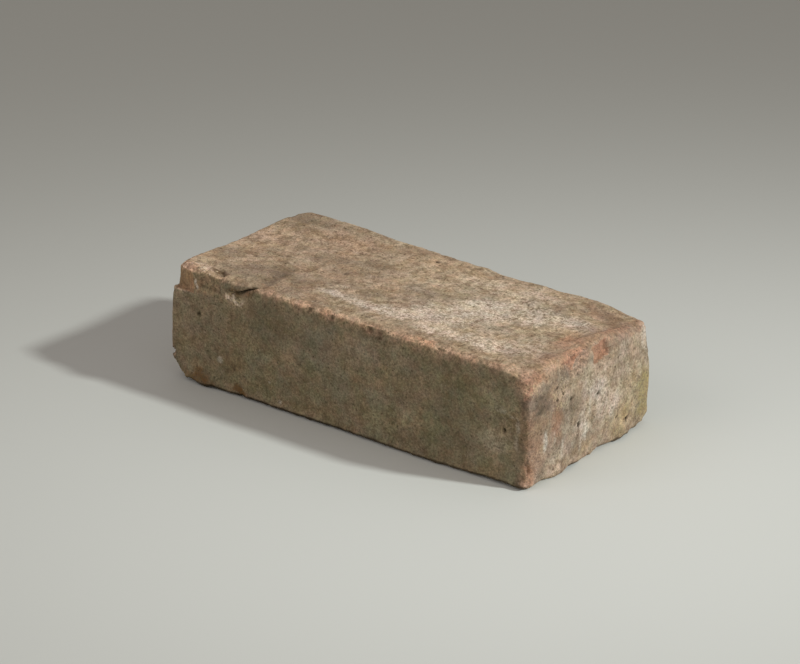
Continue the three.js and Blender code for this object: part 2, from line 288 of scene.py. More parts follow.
def box_skin(counts):
    """Lattice indices of the points on a box's six sides, and its quads, which face outwards.
    Each side is a grid over two axes; points shared by sides are made one by their indices."""
    counts = np.array(counts)
    stride = np.array([1, counts[0] + 1, (counts[0] + 1) * (counts[1] + 1)])
    keys, quads = [], []
    for axis in range(3):
        u, v = (axis + 1) % 3, (axis + 2) % 3
        grid_u, grid_v = np.meshgrid(np.arange(counts[u] + 1), np.arange(counts[v] + 1), indexing="ij")
        for end in (0, 1):
            index = np.empty(grid_u.shape + (3,), np.int64)
            index[..., axis], index[..., u], index[..., v] = end * counts[axis], grid_u, grid_v
            key = index @ stride
            corners = [key[:-1, :-1], key[1:, :-1], key[1:, 1:], key[:-1, 1:]]
            ring = np.stack(corners if end else corners[::-1], -1)
            keys.append(key.ravel())
            quads.append(ring.reshape(-1, 4))
    unique, place = np.unique(np.concatenate(keys + [q.ravel() for q in quads]), return_inverse=True)
    point_total = sum(len(k) for k in keys)
    index = np.stack([unique % stride[1], unique // stride[1] % (counts[1] + 1), unique // stride[2]], 1)
    return index, place.ravel()[point_total:].reshape(-1, 4)


def gathered_at_points(values, quads, point_total):
    """Values at the quads, added up at each quad's four points."""
    corners = quads.ravel()
    columns = [np.bincount(corners, np.repeat(column, 4), point_total) for column in values.T]
    return np.stack(columns, 1)


def outward(p, quads):
    """Unit normals of the points: the cross products of the quads' diagonals, added up."""
    a, b, c, d = (p[quads[:, i]] for i in range(4))
    across = np.cross(c - a, d - b)
    total = gathered_at_points(across, quads, len(p))
    return total / np.maximum(np.linalg.norm(total, axis=1, keepdims=True), 1e-12)


def relaxed(values, quads, times):
    """Values at the points, each replaced by the mean over the quads around it, again and again."""
    flat = values.reshape(len(values), -1)
    count = np.bincount(quads.ravel(), minlength=len(flat))[:, None]
    for _ in range(times):
        mean = flat[quads].mean(1)
        flat = gathered_at_points(mean, quads, len(flat)) / count
    return flat.reshape(values.shape)


# ---- the mould ----

# Radii of the upright arrises, by the signs of x and y.
CORNER_RADII = {(-1, -1): 3.5, (-1, 1): 8.0, (1, 1): 4.5, (1, -1): 4.0}
BULGE_DEPTH = 14.0  # depth behind a face over which its swell fades out
BULGE_LOST = 0.5  # share of a swell that is gone at the upright arrises
TRUE_BED, WAVY_BED = 18.0, 45.0  # radii between which the struck bed turns from plane to wavy


class Block:
    """The mould's sizes in mm, with places measured from its faces."""

    def __init__(self, sizes):
        for name in sizes.__annotations__:
            setattr(self, name, getattr(sizes, name) / MM)

    def left(self, d):
        """X of a place d inside the left end."""
        return d - self.length / 2

    def right(self, d):
        """X of a place d inside the right end."""
        return self.length / 2 - d

    def front(self, d):
        """Y of a place d inside the front."""
        return d - self.width / 2

    def back(self, d):
        """Y of a place d inside the back."""
        return self.width / 2 - d

    def struck(self, x, y):
        """Height of the struck plane above a point of the plan."""
        return self.height - self.fall_along * x / self.length - self.fall_across * y / self.width

    def below(self, x, y, down):
        """The place at x and y that is down mm under the struck plane."""
        return (x, y, self.struck(x, y) - down)


def round_pair(u, v, r):
    """Depths u and v under two faces, moved onto a quarter circle of radius r at their edge."""
    centre_u, centre_v = np.maximum(u, r), np.maximum(v, r)
    du, dv = u - centre_u, v - centre_v
    reach = np.hypot(du, dv)
    still = reach < 1e-9
    share = r / np.where(still, 1, reach)
    return np.where(still, u, centre_u + du * share), np.where(still, v, centre_v + dv * share)


def rounded(p, block):
    """A sharp block's points moved to the rounded one: the beds' arrises first, each point staying
    on its ring of the plan, then the upright arrises, each with its own radius."""
    x, y, z = p.T
    inset = np.minimum(block.length / 2 - np.abs(x), block.width / 2 - np.abs(y))
    upper = z > block.height / 2
    radius = np.where(upper, block.top_arris, block.bottom_arris)
    depth_in, depth_down = round_pair(inset, np.where(upper, block.height - z, z), radius)
    ring_x, ring_y = block.length / 2 - depth_in, block.width / 2 - depth_in
    scale_x = np.where(inset < radius, ring_x / (block.length / 2 - inset), 1)
    scale_y = np.where(inset < radius, ring_y / (block.width / 2 - inset), 1)
    corner = sum(
        r * ((x >= 0) == (sign_x > 0)) * ((y >= 0) == (sign_y > 0))
        for (sign_x, sign_y), r in CORNER_RADII.items()
    )
    in_x, in_y = round_pair(
        ring_x - np.abs(x) * scale_x, ring_y - np.abs(y) * scale_y, np.maximum(corner - depth_in, 0)
    )
    new_z = np.where(upper, block.height - depth_down, depth_down)
    return np.stack([np.sign(x) * (ring_x - in_x), np.sign(y) * (ring_y - in_y), new_z], 1)


def wave(q, phase):
    """Three crossed sines of the place, 1 high together."""
    x, y, z = q.T
    return (
        0.5 * np.sin(x / 13 + y / 21 + z / 17 + 2.1 * phase)
        + 0.3 * np.sin(x / 7.6 - y / 9.5 + z / 11 + 4.7 * phase)
        + 0.2 * np.sin(y / 6.1 + x / 24 - z / 7.2 + 1.3 * phase)
    )


def swells(block):
    """Where the clay was drawn out, pressed in or worn: middle, reach and push."""
    b = block
    return [
        ((b.left(14), b.back(4), b.height), 46, (0, 0, 2.4)),  # drawn up with the mould
        ((b.left(3), b.back(9), b.height), 9, (0, 0, -1.5)),  # dented
        ((b.left(46), b.back(0), b.height), 28, (0, 0, 1.4)),  # drawn up
        ((b.left(127), b.back(0), b.height), 26, (0, 0, -1.2)),  # worn low
        ((b.left(110.5), b.back(0), b.height), 9, (0, 0, -1.9)),  # nicked
        ((b.left(73.5), b.back(0), b.height), 24, (0, 0, 0.6)),  # drawn up
        ((b.left(113), b.back(0), b.height), 13, (0, 0, 2.4)),  # left standing between
        ((b.right(0), b.back(0), b.height), 40, (0, 0, -2.6)),  # worn corner
        ((b.right(22), b.back(0), b.height), 15, (0, 0, 0.9)),  # left standing
        ((b.right(0), b.back(0), b.height), 24, (-1.3, -0.9, 0)),  # rubbed back
        ((b.right(0), b.back(0), 42), 14, (-1, -0.4, 0)),  # and further below
        ((b.right(0), b.front(0), b.height), 15, (-1.6, 1.2, -1.6)),  # worn corner
        ((b.left(0), b.front(18), b.height), 16, (0, 0, 0.9)),  # drawn up
        ((b.left(0), b.back(36), b.height), 15, (0, 0, 0.5)),  # drawn up
        ((b.left(161), b.back(0), b.height), 12, (0, 0, -0.6)),  # dented
        ((b.left(39), b.front(3), b.height), 15, (0, -0.8, 0.8)),  # behind the fold's lip
        ((b.left(27), b.front(1), b.height), 12, (0, -0.4, 0.3)),  # and its left end
        ((b.left(0), b.front(0), 12), 18, (-1.9, -0.5, 0)),  # slumped out
        ((b.left(0), b.front(0), 33), 21, (-1.2, -0.3, 0)),  # slumped out
        ((b.right(69), b.front(0), 6), 36, (0, -1, 0)),  # slumped out
        ((b.left(20), b.front(0), 2), 12, (0, -1.2, 0)),  # slumped out
        ((b.right(0), b.front(24), 1), 11, (1.7, 0, 0)),  # slumped out
        ((b.right(0), b.back(24), 1), 11, (1.5, 0, 0)),  # slumped out
    ]


def moulded(p, block):
    """A sharp block's points moved to the moulded brick's: rounded, then each side swollen most
    at mid height, waves added, the top tilted, and the local swells added, each fading with
    (1 - distance^2 / reach^2)^2. What moves a point up or down fades out towards the lower bed."""
    q = rounded(p, block)
    x, y, z = q.T
    level = 1 - (z / (block.height / 2) - 1) ** 2
    out_x = smoothstep(np.abs(x), block.length / 2 - BULGE_DEPTH, block.length / 2) * block.header_bulge
    out_x = out_x * (1 - BULGE_LOST * (y / (block.width / 2)) ** 2) * level
    out_y = smoothstep(np.abs(y), block.width / 2 - BULGE_DEPTH, block.width / 2) * block.stretcher_bulge
    out_y = out_y * (1 - BULGE_LOST * (x / (block.length / 2)) ** 2) * level
    loose = block.wave_height * smoothstep(np.hypot(x, y), TRUE_BED, WAVY_BED)
    rise = z / block.height
    out = np.stack(
        [
            x + np.sign(x) * out_x + loose * wave(q, 0),
            y + np.sign(y) * out_y + loose * wave(q, 1),
            rise * (block.struck(x, y) + loose * wave(q, 2)),
        ],
        1,
    )
    for at, reach, push in swells(block):
        share = np.clip(1 - ((out - at) ** 2).sum(1) / reach**2, 0, None) ** 2
        out[:, :2] += share[:, None] * push[:2]
        out[:, 2] += share * push[2] * rise
    return out


# ---- breaks ----


def chips(block):
    """Uneven lumps broken out of the arrises: middle, half sizes and turn."""
    b = block
    upper = [
        (b.below(b.left(85), b.front(-0.4), 1.4), (2.1, 1.9, 2.6), (0, 25, 0)),
        (b.below(b.left(98.5), b.front(-0.4), 2.0), (2.4, 1.7, 1.9), (0, 30, 0)),
        (b.below(b.left(121.5), b.front(-0.4), 2.4), (2.2, 1.7, 1.6), (0, 20, 0)),
        (b.below(b.left(127.5), b.front(-0.4), 2.8), (1.3, 1.6, 3.4), (0, 5, 0)),
        (b.below(b.right(49), b.front(-0.4), 1.6), (3.4, 1.6, 1.6), (0, -8, 0)),
        (b.below(b.right(-0.9), b.front(35.5), 4.2), (2.6, 10.5, 4.6), (0, 0, 3)),
        (b.below(b.right(-0.7), b.front(35.5), 8.2), (2.2, 4.5, 3.4), (0, 0, 3)),
        (b.below(b.right(0.8), b.back(1), 4.6), (3, 3.4, 1.6), (0, 0, 40)),
        (b.below(b.left(88), b.back(-0.8), 2.4), (5, 2, 1.7), (0, 0, 0)),
    ]
    lower = [
        ((b.left(-1.2), b.front(0), 12.9), (3.2, 3.0, 1.8), (0, -12, 0)),
        ((b.left(12), b.front(-0.6), 0), (6, 1.9, 2.2), (0, 0, 0)),
        ((b.left(43.5), b.front(-0.8), 0), (3.2, 2.0, 1.8), (0, 0, 0)),
        ((b.right(23.5), b.front(-0.6), 0), (2.6, 2.0, 1.4), (0, 0, 0)),
        ((b.right(-0.2), b.front(0.2), 12), (1.7, 1.7, 4.2), (0, 0, 0)),
        ((b.right(-0.6), b.front(12), 0), (2, 4, 1.4), (0, 0, 0)),
        ((b.right(-0.8), b.front(31), 0), (2.3, 3.2, 2.2), (20, 0, 0)),
        ((b.right(-0.8), b.front(49), 0), (2.0, 4.5, 2.0), (-10, 0, 0)),
        ((b.right(-0.8), b.back(41), 0), (2.4, 6.5, 3.0), (-14, 0, 0)),
        ((b.left(80), b.back(-0.8), 0), (6, 2.1, 2), (0, 0, 0)),
    ]
    return upper + lower


def flakes(block):
    """Flat-faced breaks: middle of the lower border, way it faces, width, height, roll, the point
    inside the block that its skin is drawn towards, how uneven it is, and its finish."""
    b = block
    return [
        ((b.left(5), b.front(-3.1), 53.6), (-0.21, -0.43, 0.88), 17, 15, 0, (-84, -24, 30), 0.5, "rough"),
        ((b.left(6.4), b.front(2.9), 46.9), (-0.36, -0.93, 0), 15, 22, 0, (-78, -18, 30), 0.08, "split"),
        ((b.left(24), b.front(0.5), 51.2), (-0.05, -1, 0.05), 14, 14, -3, (-80, -30, 46), 0.2, "rough"),
        ((b.left(12.5), b.front(1), -3), (-0.65, -0.2, -0.73), 26, 24, 0, (-78, -28, 28), 0.6, "rough"),
        ((b.right(1.0), b.back(41.4), 46.6), (1, 0.1, 0.03), 12.5, 14, 9, (70, 8, 40), 0.2, "spalled"),
        ((b.right(0.8), b.back(57.3), 54.8), (1, 0.04, 0.1), 19, 24, 45, (70, -12, 40), 0.2, "spalled"),
        ((b.right(4), b.back(16), -4), (0.62, 0.31, -0.72), 60, 40, 0, (80, 24, 30), 0.8, "rough"),
    ]


def pits(block):
    """Pits where a pebble fell out: middle, radius and the way out of the brick."""
    b = block
    header = [
        (b.back(44.9), 31, 1.1),
        (b.front(20.6), 44.2, 0.8),
        (b.front(37.7), 20.5, 1.1),
        (b.back(20.5), 9.3, 1.1),
        (b.back(29.2), 12.9, 0.8),
        (b.front(20.4), 38.4, 0.8),
        (b.front(25.3), 40.1, 0.7),
        (b.front(31.7), 35.5, 0.7),
    ]
    stretcher = [(b.right(12.5), 27.5, 1.1), (b.left(16.4), 37.2, 1.1)]
    bed = [(b.left(93.9), b.back(12.1), 1.1), (b.left(71.1), b.front(45.3), 1)]
    return (
        [((b.right(0), y, z), r, (1, 0, 0)) for y, z, r in header]
        + [((x, b.front(0), z), r, (0, -1, 0)) for x, z, r in stretcher]
        + [((x, y, b.height), r, (0, 0, 1)) for x, y, r in bed]
    )


def gathered(p, free, at, reach, pull):
    """Points of the sharp block drawn along its faces towards a place, by pull at that place and
    fading with (1 - distance^2 / reach^2)^2, so that the mesh is finer there."""
    to = np.array(at) - p
    share = pull * np.clip(1 - (to**2).sum(1) / reach**2, 0, None) ** 2
    return p + to * share[:, None] * free


def break_lump(p, normals, at, half, turn, rough, seed, inside_depth=30.0):
    """Skin that lies inside an uneven ellipsoid is drawn towards a point deep under it, until it
    leaves the ellipsoid: the root of a quadratic in the ellipsoid's own coordinates. Returns the
    points and how far each went."""
    at, half = np.array(at, float), np.array(half, float)
    axes = turned(turn)
    local = (p - at) @ axes / half
    border = 1 + rough * layered(p, 0.9 * half.min(), 2, seed)
    inside = (local**2).sum(1) < border**2
    went = np.zeros(len(p))
    if not inside.any():
        return p, went
    way = -normals[inside].mean(0)
    way /= np.linalg.norm(way)
    to = at + inside_depth * way - p[inside]
    to /= np.linalg.norm(to, axis=1, keepdims=True)
    step = to @ axes / half
    q, edge = local[inside], border[inside]
    a, b, c = (step**2).sum(1), (q * step).sum(1), (q**2).sum(1) - edge**2
    went[inside] = (-b + np.sqrt(np.maximum(b * b - a * c, 0))) / a
    out = p.copy()
    out[inside] += to * went[inside, None]
    return out, went


def break_flake(p, at, facing, wide, tall, roll, towards, rough, seed):
    """Skin beyond a flat split face, above its lower border and between its sides, is drawn
    towards a point inside the block until it meets the first of those planes."""
    face = np.array(facing, float)
    face /= np.linalg.norm(face)
    across = np.cross((0, 0, 1), face)
    across /= np.linalg.norm(across)
    up = np.cross(face, across)
    c, s = np.cos(np.radians(roll)), np.sin(np.radians(roll))
    across, up = c * across + s * up, c * up - s * across
    off = p - np.array(at, float)
    uneven = rough * layered(p, 4.0, 3, seed)
    sideways, above = off @ across, off @ up
    ways = np.stack([face, up, -across, across, -up])
    half = wide / 2
    depths = [off @ face + uneven, above + 0.5 * uneven, half - sideways, half + sideways, tall - above]
    beyond = np.stack(depths, 1)
    inside = (beyond > 0).all(1)
    to = np.array(towards, float) - p[inside]
    to /= np.linalg.norm(to, axis=1, keepdims=True)
    closing = -(to @ ways.T)
    step = np.where(closing > 1e-6, beyond[inside] / np.maximum(closing, 1e-6), np.inf).min(1)
    went = np.zeros(len(p))
    went[inside] = step
    out = p.copy()
    out[inside] += to * step[:, None]
    return out, went


# ---- the fold and the lower arris ----

# The slit's depth below the front's upper arris, by distance from the left end.
SLIT = [
    (19, 6.9), (29, 5.8), (35, 5.2), (40.5, 4.5), (45, 2.9),
    (48.5, 0.4), (52, -2.8), (55, -5.5), (60, -8.5),
]
LIP_MIDDLE, LIP_REACH = 42, 11.5  # of the lip above the slit, from the left end, and to its right
GAP_MIDDLE, GAP_REACH = 44, 8.5  # of the open part of the slit

# Lines in plan on the struck bed: the fold's edge, the step down into the scar left of it, and the
# thin ridge along the right end.
FOLD_EDGE = [(-48.5, -49.5), (-51.5, -46), (-55.5, -33), (-57, -20), (-57.5, -8)]
SCAR_EDGE = [
    (-75.5, -53), (-74.3, -48), (-74, -44.6), (-78, -41.8), (-86, -39), (-94, -37.5), (-104, -36),
]
RIDGE = [(95.5, -9), (97.5, 2), (99.5, 15), (101.5, 28), (102.5, 40)]


def beyond_slit(p, block):
    """How far below the slit each point of the sharp block lies: down the front, and in over the
    bed as its continuation. SLIT gives the slit's own depth below the arris, by distance from
    the left end."""
    x, y, z = p.T
    on_front = y < -block.width / 2 + 1e-6
    on_bed = z > block.height - 1e-6
    down = np.where(on_front, block.height - z, np.where(on_bed, -y - block.width / 2, 1000.0))
    places, depths = np.array(SLIT).T
    return down, down - np.interp(x - block.left(0), places, depths)


def gathered_at_slit(p, block, pull=0.62, reach=7.0):
    """Points of the sharp block drawn towards the slit along the front and the bed, so that the
    mesh is finer there."""
    down, off = beyond_slit(p, block)
    from_left = p[:, 0] - block.left(0)
    share = smoothstep(from_left, 26, 34) * (1 - smoothstep(from_left, 54, 60))
    share *= pull * np.clip(1 - (off / reach) ** 2, 0, None) ** 2
    moved = down - off * share
    near = share > 0
    out = p.copy()
    out[:, 1] = np.where(near, np.where(moved > 0, -block.width / 2, -block.width / 2 - moved), p[:, 1])
    out[:, 2] = np.where(near, np.where(moved > 0, block.height - moved, block.height), p[:, 2])
    return out


def folded(p, sharp, block):
    """The fold. Above the slit the skin rolls out and down as a lip; at the slit it is pushed in
    under the lip; both fade along X as 1 - s^2. On the bed there are the fold's trough, the
    step down into the scar beside it, and the thin ridge along the right end. Returns the
    points and how much each lies in the slit, in the scar and in the lip's shade."""
    _, off = beyond_slit(sharp, block)
    from_left = sharp[:, 0] - block.left(0)
    places, depths = np.array(SLIT).T
    tilt = np.radians(90) * (1 - smoothstep(np.interp(from_left, places, depths), -3.0, 4.0))
    out_way = np.stack([0 * tilt, -np.cos(tilt), np.sin(tilt)], 1)
    down_way = np.stack([0 * tilt, -np.sin(tilt), -np.cos(tilt)], 1)

    reach = np.where(from_left < LIP_MIDDLE, 8.0 - np.clip(off, -6, 0), LIP_REACH)
    lip = np.clip(1 - ((from_left - LIP_MIDDLE) / reach) ** 2, 0, None)
    under = 1 - smoothstep(off, -1.0, 0.0)
    roll = smoothstep(off, -6.5, -3.6) * (1 - smoothstep(off, -1.6, -0.1)) * lip
    crown = smoothstep(off, -9.0, -5.5) * (1 - smoothstep(off, -5.5, -2.0)) * lip
    drop = smoothstep(off, -3.2, -1.0) * under * lip
    gap = np.clip(1 - ((from_left - GAP_MIDDLE) / GAP_REACH) ** 2, 0, None) ** 0.75
    across = off / (0.4 + 0.9 * gap)
    slit = smoothstep(across, -0.2, 0.4) * (1 - smoothstep(across, 0.8, 2.0)) * gap
    rippled = 1 + 0.3 * noise(sharp, 6.0, 201)
    out = p + (2.1 * roll * rippled - 2.6 * slit)[:, None] * out_way
    out += (0.9 * drop - 0.6 * crown - 1.1 * slit)[:, None] * down_way

    on_bed = smoothstep(p[:, 2], block.height - 6, block.height - 2)
    away, run = beside(p, FOLD_EDGE)
    fade = (1 - smoothstep(run, 0.45, 1.0)) * on_bed
    out[:, 2] -= fade * 0.5 * np.exp(-((away - 0.6) ** 2) / 8.0)
    away, run = beside(warped(p, 4.0, 0.9, 203), SCAR_EDGE)
    scar = smoothstep(-away, -0.35, 0.45) * (1 - smoothstep(-away, 8.0, 17.0)) * on_bed
    kept = (1 - 0.8 * smoothstep(run, 0.4, 0.7)) * smoothstep(run, -0.3, 0.45)
    out[:, 2] -= scar * (0.5 + 1.5 * np.exp(-((away / 4.0) ** 2))) * kept
    away, run = beside(p, RIDGE)
    ends = smoothstep(run, 0, 0.15) * (1 - smoothstep(run, 0.85, 1.0)) * on_bed
    crest, trough = np.exp(-((away - 0.8) ** 2) / 1.4), np.exp(-((away + 2.6) ** 2) / 5.0)
    out[:, 2] += ends * 0.6 * (crest - trough)
    shaded = smoothstep(off, -1.9, -0.3) * (1 - smoothstep(off, 0.4, 2.0)) * lip
    shaded *= smoothstep(from_left, 26, 38)
    return out, slit, scar, shaded


# How far the lower arris hangs above the floor: along the front by x, along the right end by y.
FRONT_HANG = [
    (-106, 0.2), (-96, 0.2), (-88, 0.3), (-84, 0.4), (-81, 1.1), (-78, 0.2), (-66, 0.2), (-62, 0.4),
    (38, 0.5), (52, 0.35), (72, 0.2), (80, 0.6), (86, 1.0), (94, 1.0), (100, 0.8), (106, 0.8),
]
RIGHT_HANG = [
    (-48, 0.2), (-40, 1.3), (-34, 0.7), (-30, 0), (-23, 0), (-19, 1.3), (-14, 0.6), (-10, 0), (-2, 0.1),
    (2, 0.5), (8, 1.8), (15, 1.1), (20, 0.2), (30, 0.3), (34, 1.2), (38, 0.6), (42, 0), (44, 0), (46, 1.2),
]


def undercut(p, block):
    """The lower arris of the front and the right end: the side comes down to a sharp edge that
    hangs above the floor by FRONT_HANG and RIGHT_HANG, and the underside rises to meet it over
    its last few mm."""
    x, y, z = p.T
    low = 1 - smoothstep(z, 0, 6)
    in_front, in_right = y + block.width / 2, block.length / 2 - x
    rough = 0.3 * noise(p, 3.4, 211)
    hang = np.interp(x, *np.array(FRONT_HANG).T) + rough
    hang *= 1 - smoothstep(in_front, 0.6, 5.5)
    hang_right = np.interp(y, *np.array(RIGHT_HANG).T) + 1.5 * rough
    hang_right *= 1 - smoothstep(in_right, 0.4, 4.5)
    out = p.copy()
    out[:, 1] -= 1.5 * low * (1 - smoothstep(in_front, 0, 3.5))
    out[:, 2] += low * np.clip(np.maximum(hang, hang_right), 0, None)
    return out


# ---- what lies on the clay, its tone, and painted light and shade: spots of middles, half sizes and strengths, in mm ----


def shared(axis, place, half, spots):
    """Spots with the same place and half size along one axis: each gives its other two places,
    its other two half sizes and its strength."""
    rows = []
    for *at_and_size, strength in spots:
        at, size = at_and_size[:2], at_and_size[2:]
        at.insert(axis, place)
        size.insert(axis, half)
        rows.append((*at, *size, strength))
    return rows


def on_end(x, half_x, *spots):
    """Spots on the right end, by Y and Z."""
    return shared(0, x, half_x, spots)


def on_front(y, half_y, *spots):
    """Spots on the front, by X and Z."""
    return shared(1, y, half_y, spots)


def on_bed(z, half_z, *spots):
    """Spots on the struck bed, by X and Y."""
    return shared(2, z, half_z, spots)


LIME = [  # film of lime
    *on_end(
        106, 6,
        (5, 31, 8, 9, 0.6), (14, 22, 10, 8, 0.4), (-4, 38, 7, 8, 0.35), (-7, 20, 5, 12, 0.5),
        (44, 46, 4, 9, 0.8), (-38, 19, 3, 7, 0.5),
    ),
    *on_bed(
        58, 6,
        (-22, -29, 10, 3.5, 0.7), (-2, -30, 13, 5, 0.9), (14, -29, 15, 7, 1),
    ),
    *on_bed(
        57, 6,
        (32, -18, 18, 14, 1), (44, 0, 20, 16, 1), (66, -31, 20, 8, 0.9), (42, -34, 16, 6, 0.7),
        (84, -24, 14, 12, 0.6), (24, 28, 18, 12, 0.35), (50, 30, 16, 12, 0.5),
    ),
    (62, 10, 56, 22, 14, 6, 0.9), (82, 15, 55, 16, 8, 6, 0.9), (-88, -42, 58, 11, 4, 5, 0.3),
    (-101, -44, 57, 5, 3, 3, 0.7), (-66.5, -50.5, 51.2, 4.6, 4, 2.2, 0.8),
    (-61.5, -50.5, 50.6, 3, 4, 1.8, 0.6), (-79, 47, 58, 4, 3, 5, 0.5),
]
GREY = [  # soot and grey smudges
    *on_end(
        106, 6,
        (-40, 41.5, 8, 6, 1), (-44, 36, 4, 5, 0.7), (-28, 35, 5, 5, 0.5), (-13, 36, 6, 4, 0.35),
        (-12, 11, 6, 5, 0.4),
    ),
    *on_front(
        -49, 6,
        (-90, 30, 16, 10, 0.2), (-20, 42, 14, 8, 0.2), (15, 53, 7, 4, 0.5), (-5, 51, 6, 4, 0.5),
    ),
    # (-79, -44) and (-83, -41.5) below are painted shadow in the wedge beside the scar's step, and (104.5,
    # -49, 45) is painted shade on the front's right arris.
    (-54, -38, 59, 5, 9, 5, 0.5), (-57, -24, 58, 5, 10, 5, 0.6), (-59, -9, 58, 8, 6, 5, 0.3),
    (-79, -44, 59, 4, 2, 4, 0.5), (-83, -41.5, 59, 5, 2, 4, 0.8), (-95, 40, 59, 10, 9, 6, 0.4),
    (-13, -16, 58, 16, 8, 6, 0.35), (10, 3, 57, 14, 9, 6, 0.4), (94, -44, 56, 9, 4, 6, 0.3),
    (104.5, -49, 45, 4, 4, 6, 1), (90, 36, 55, 6, 6, 6, 0.35), (73.6, 19.4, 55.5, 6, 5, 6, 0.25),
    (105, -2, 56, 3, 4, 2.5, 0.9),
]
OCHRE = [  # skin thin enough for the orange clay to show
    *on_end(
        106, 6,
        (-29, 29, 4.5, 11, 1), (-42, 17, 6, 10, 0.8), (-4, 9, 10, 4, 0.5), (24, 12, 10, 6, 0.4),
    ),
    (-57, 34, 57, 26, 12, 6, 0.3), (-12, 40, 56, 24, 9, 6, 0.3), (90, 32, 54, 10, 8, 6, 0.7),
    (-98, -30, 58, 8, 9, 5, 0.4), (24, -49, 37, 6, 6, 10, 0.4), (-89, -50, 52, 9, 4, 4, 0.6),
    (-67, -50, 50, 5, 4, 3, 0.5), (106, -46, 30, 5, 5, 14, 0.6),
]
RUBBED = [  # arrises rubbed bare
    *on_front(
        -49, 5,
        (-44, 58, 8, 5, 0.8), (104, 38, 5, 6, 0.4), (104, 6, 4, 6, 0.6),
    ),
    *on_front(
        -49, 4.5,
        (-28, 57.5, 12, 5, 1), (-8, 57, 12, 5, 0.9), (14, 57, 14, 5, 0.8), (40, 57, 16, 5, 1),
        (66, 57, 14, 5, 0.9),
    ),
    (90, -48, 56, 12, 5, 6, 0.9), (104, -44, 54, 6, 8, 8, 0.9), (105, -47, 34, 3, 4, 9, 0.3),
    (105, -47, 15, 4, 4.5, 9, 0.6), (103, -20, 56, 6, 16, 5, 0.9), (103, 8, 54, 6, 14, 5, 0.7),
    (103, 32, 52, 6, 13, 5, 0.6), (-98, -46, 58, 8, 6, 3, 0.9), (-102, -28, 58, 5, 14, 4, 0.4),
]
RED = [  # bare red clay
    (105.5, -42, 53, 5, 8, 4, 0.7), (105, -14, 55, 4, 10, 3, 0.7), (102, 42, 52, 6, 8, 4, 0.35),
    (105, -48, 8, 3, 4, 6, 0.4), (106, -29, 28, 5, 4, 9, 0.35), (96, -5, 56.5, 6, 9, 3, 0.6),
    (101, 24, 53.5, 4, 14, 3, 0.6), (104, -48, 50, 4, 4, 5, 0.5), (46, -47.5, 58, 10, 2.5, 2, 0.5),
]
CHALK = [  # white streaks and grains
    *on_end(
        106, 5,
        (-37.4, 21, 1.9, 6, 1), (-3, 28, 1.1, 6, 0.5), (-9.5, 9, 1.2, 4, 0.4), (-6.5, 16, 2.2, 6, 0.6),
        (44, 48, 2, 4, 0.4), (-24, 14, 1.2, 5, 0.5), (-30, 20, 1, 5, 0.4),
    ),
    *on_front(
        -50, 6,
        (91.5, 36.4, 4.5, 0.8, 0.3), (97.5, 35.2, 3, 0.7, 0.3), (100.4, 31, 1.2, 4, 0.3),
        (-38.6, 4.5, 0.9, 0.9, 0.4), (-44.6, 13.2, 0.8, 0.8, 0.4), (99.6, 23, 1.4, 4, 0.2),
        (88, 21, 10, 7, 0.1),
    ),
    *on_bed(
        58, 4,
        (-20, -30, 7, 1.4, 0.3), (-90, -44, 2, 1.5, 0.3), (-96, -41, 2, 1.5, 0.4),
    ),
    (-76.3, -49.6, 16.1, 2.1, 4, 2, 0.6), (-80, 49, 58, 2.2, 2.2, 3, 0.5),
    (-90.9, -49, 52.8, 0.5, 3, 1.6, 0.9), (-89.9, -49, 50.4, 0.5, 3, 1.6, 0.9),
]
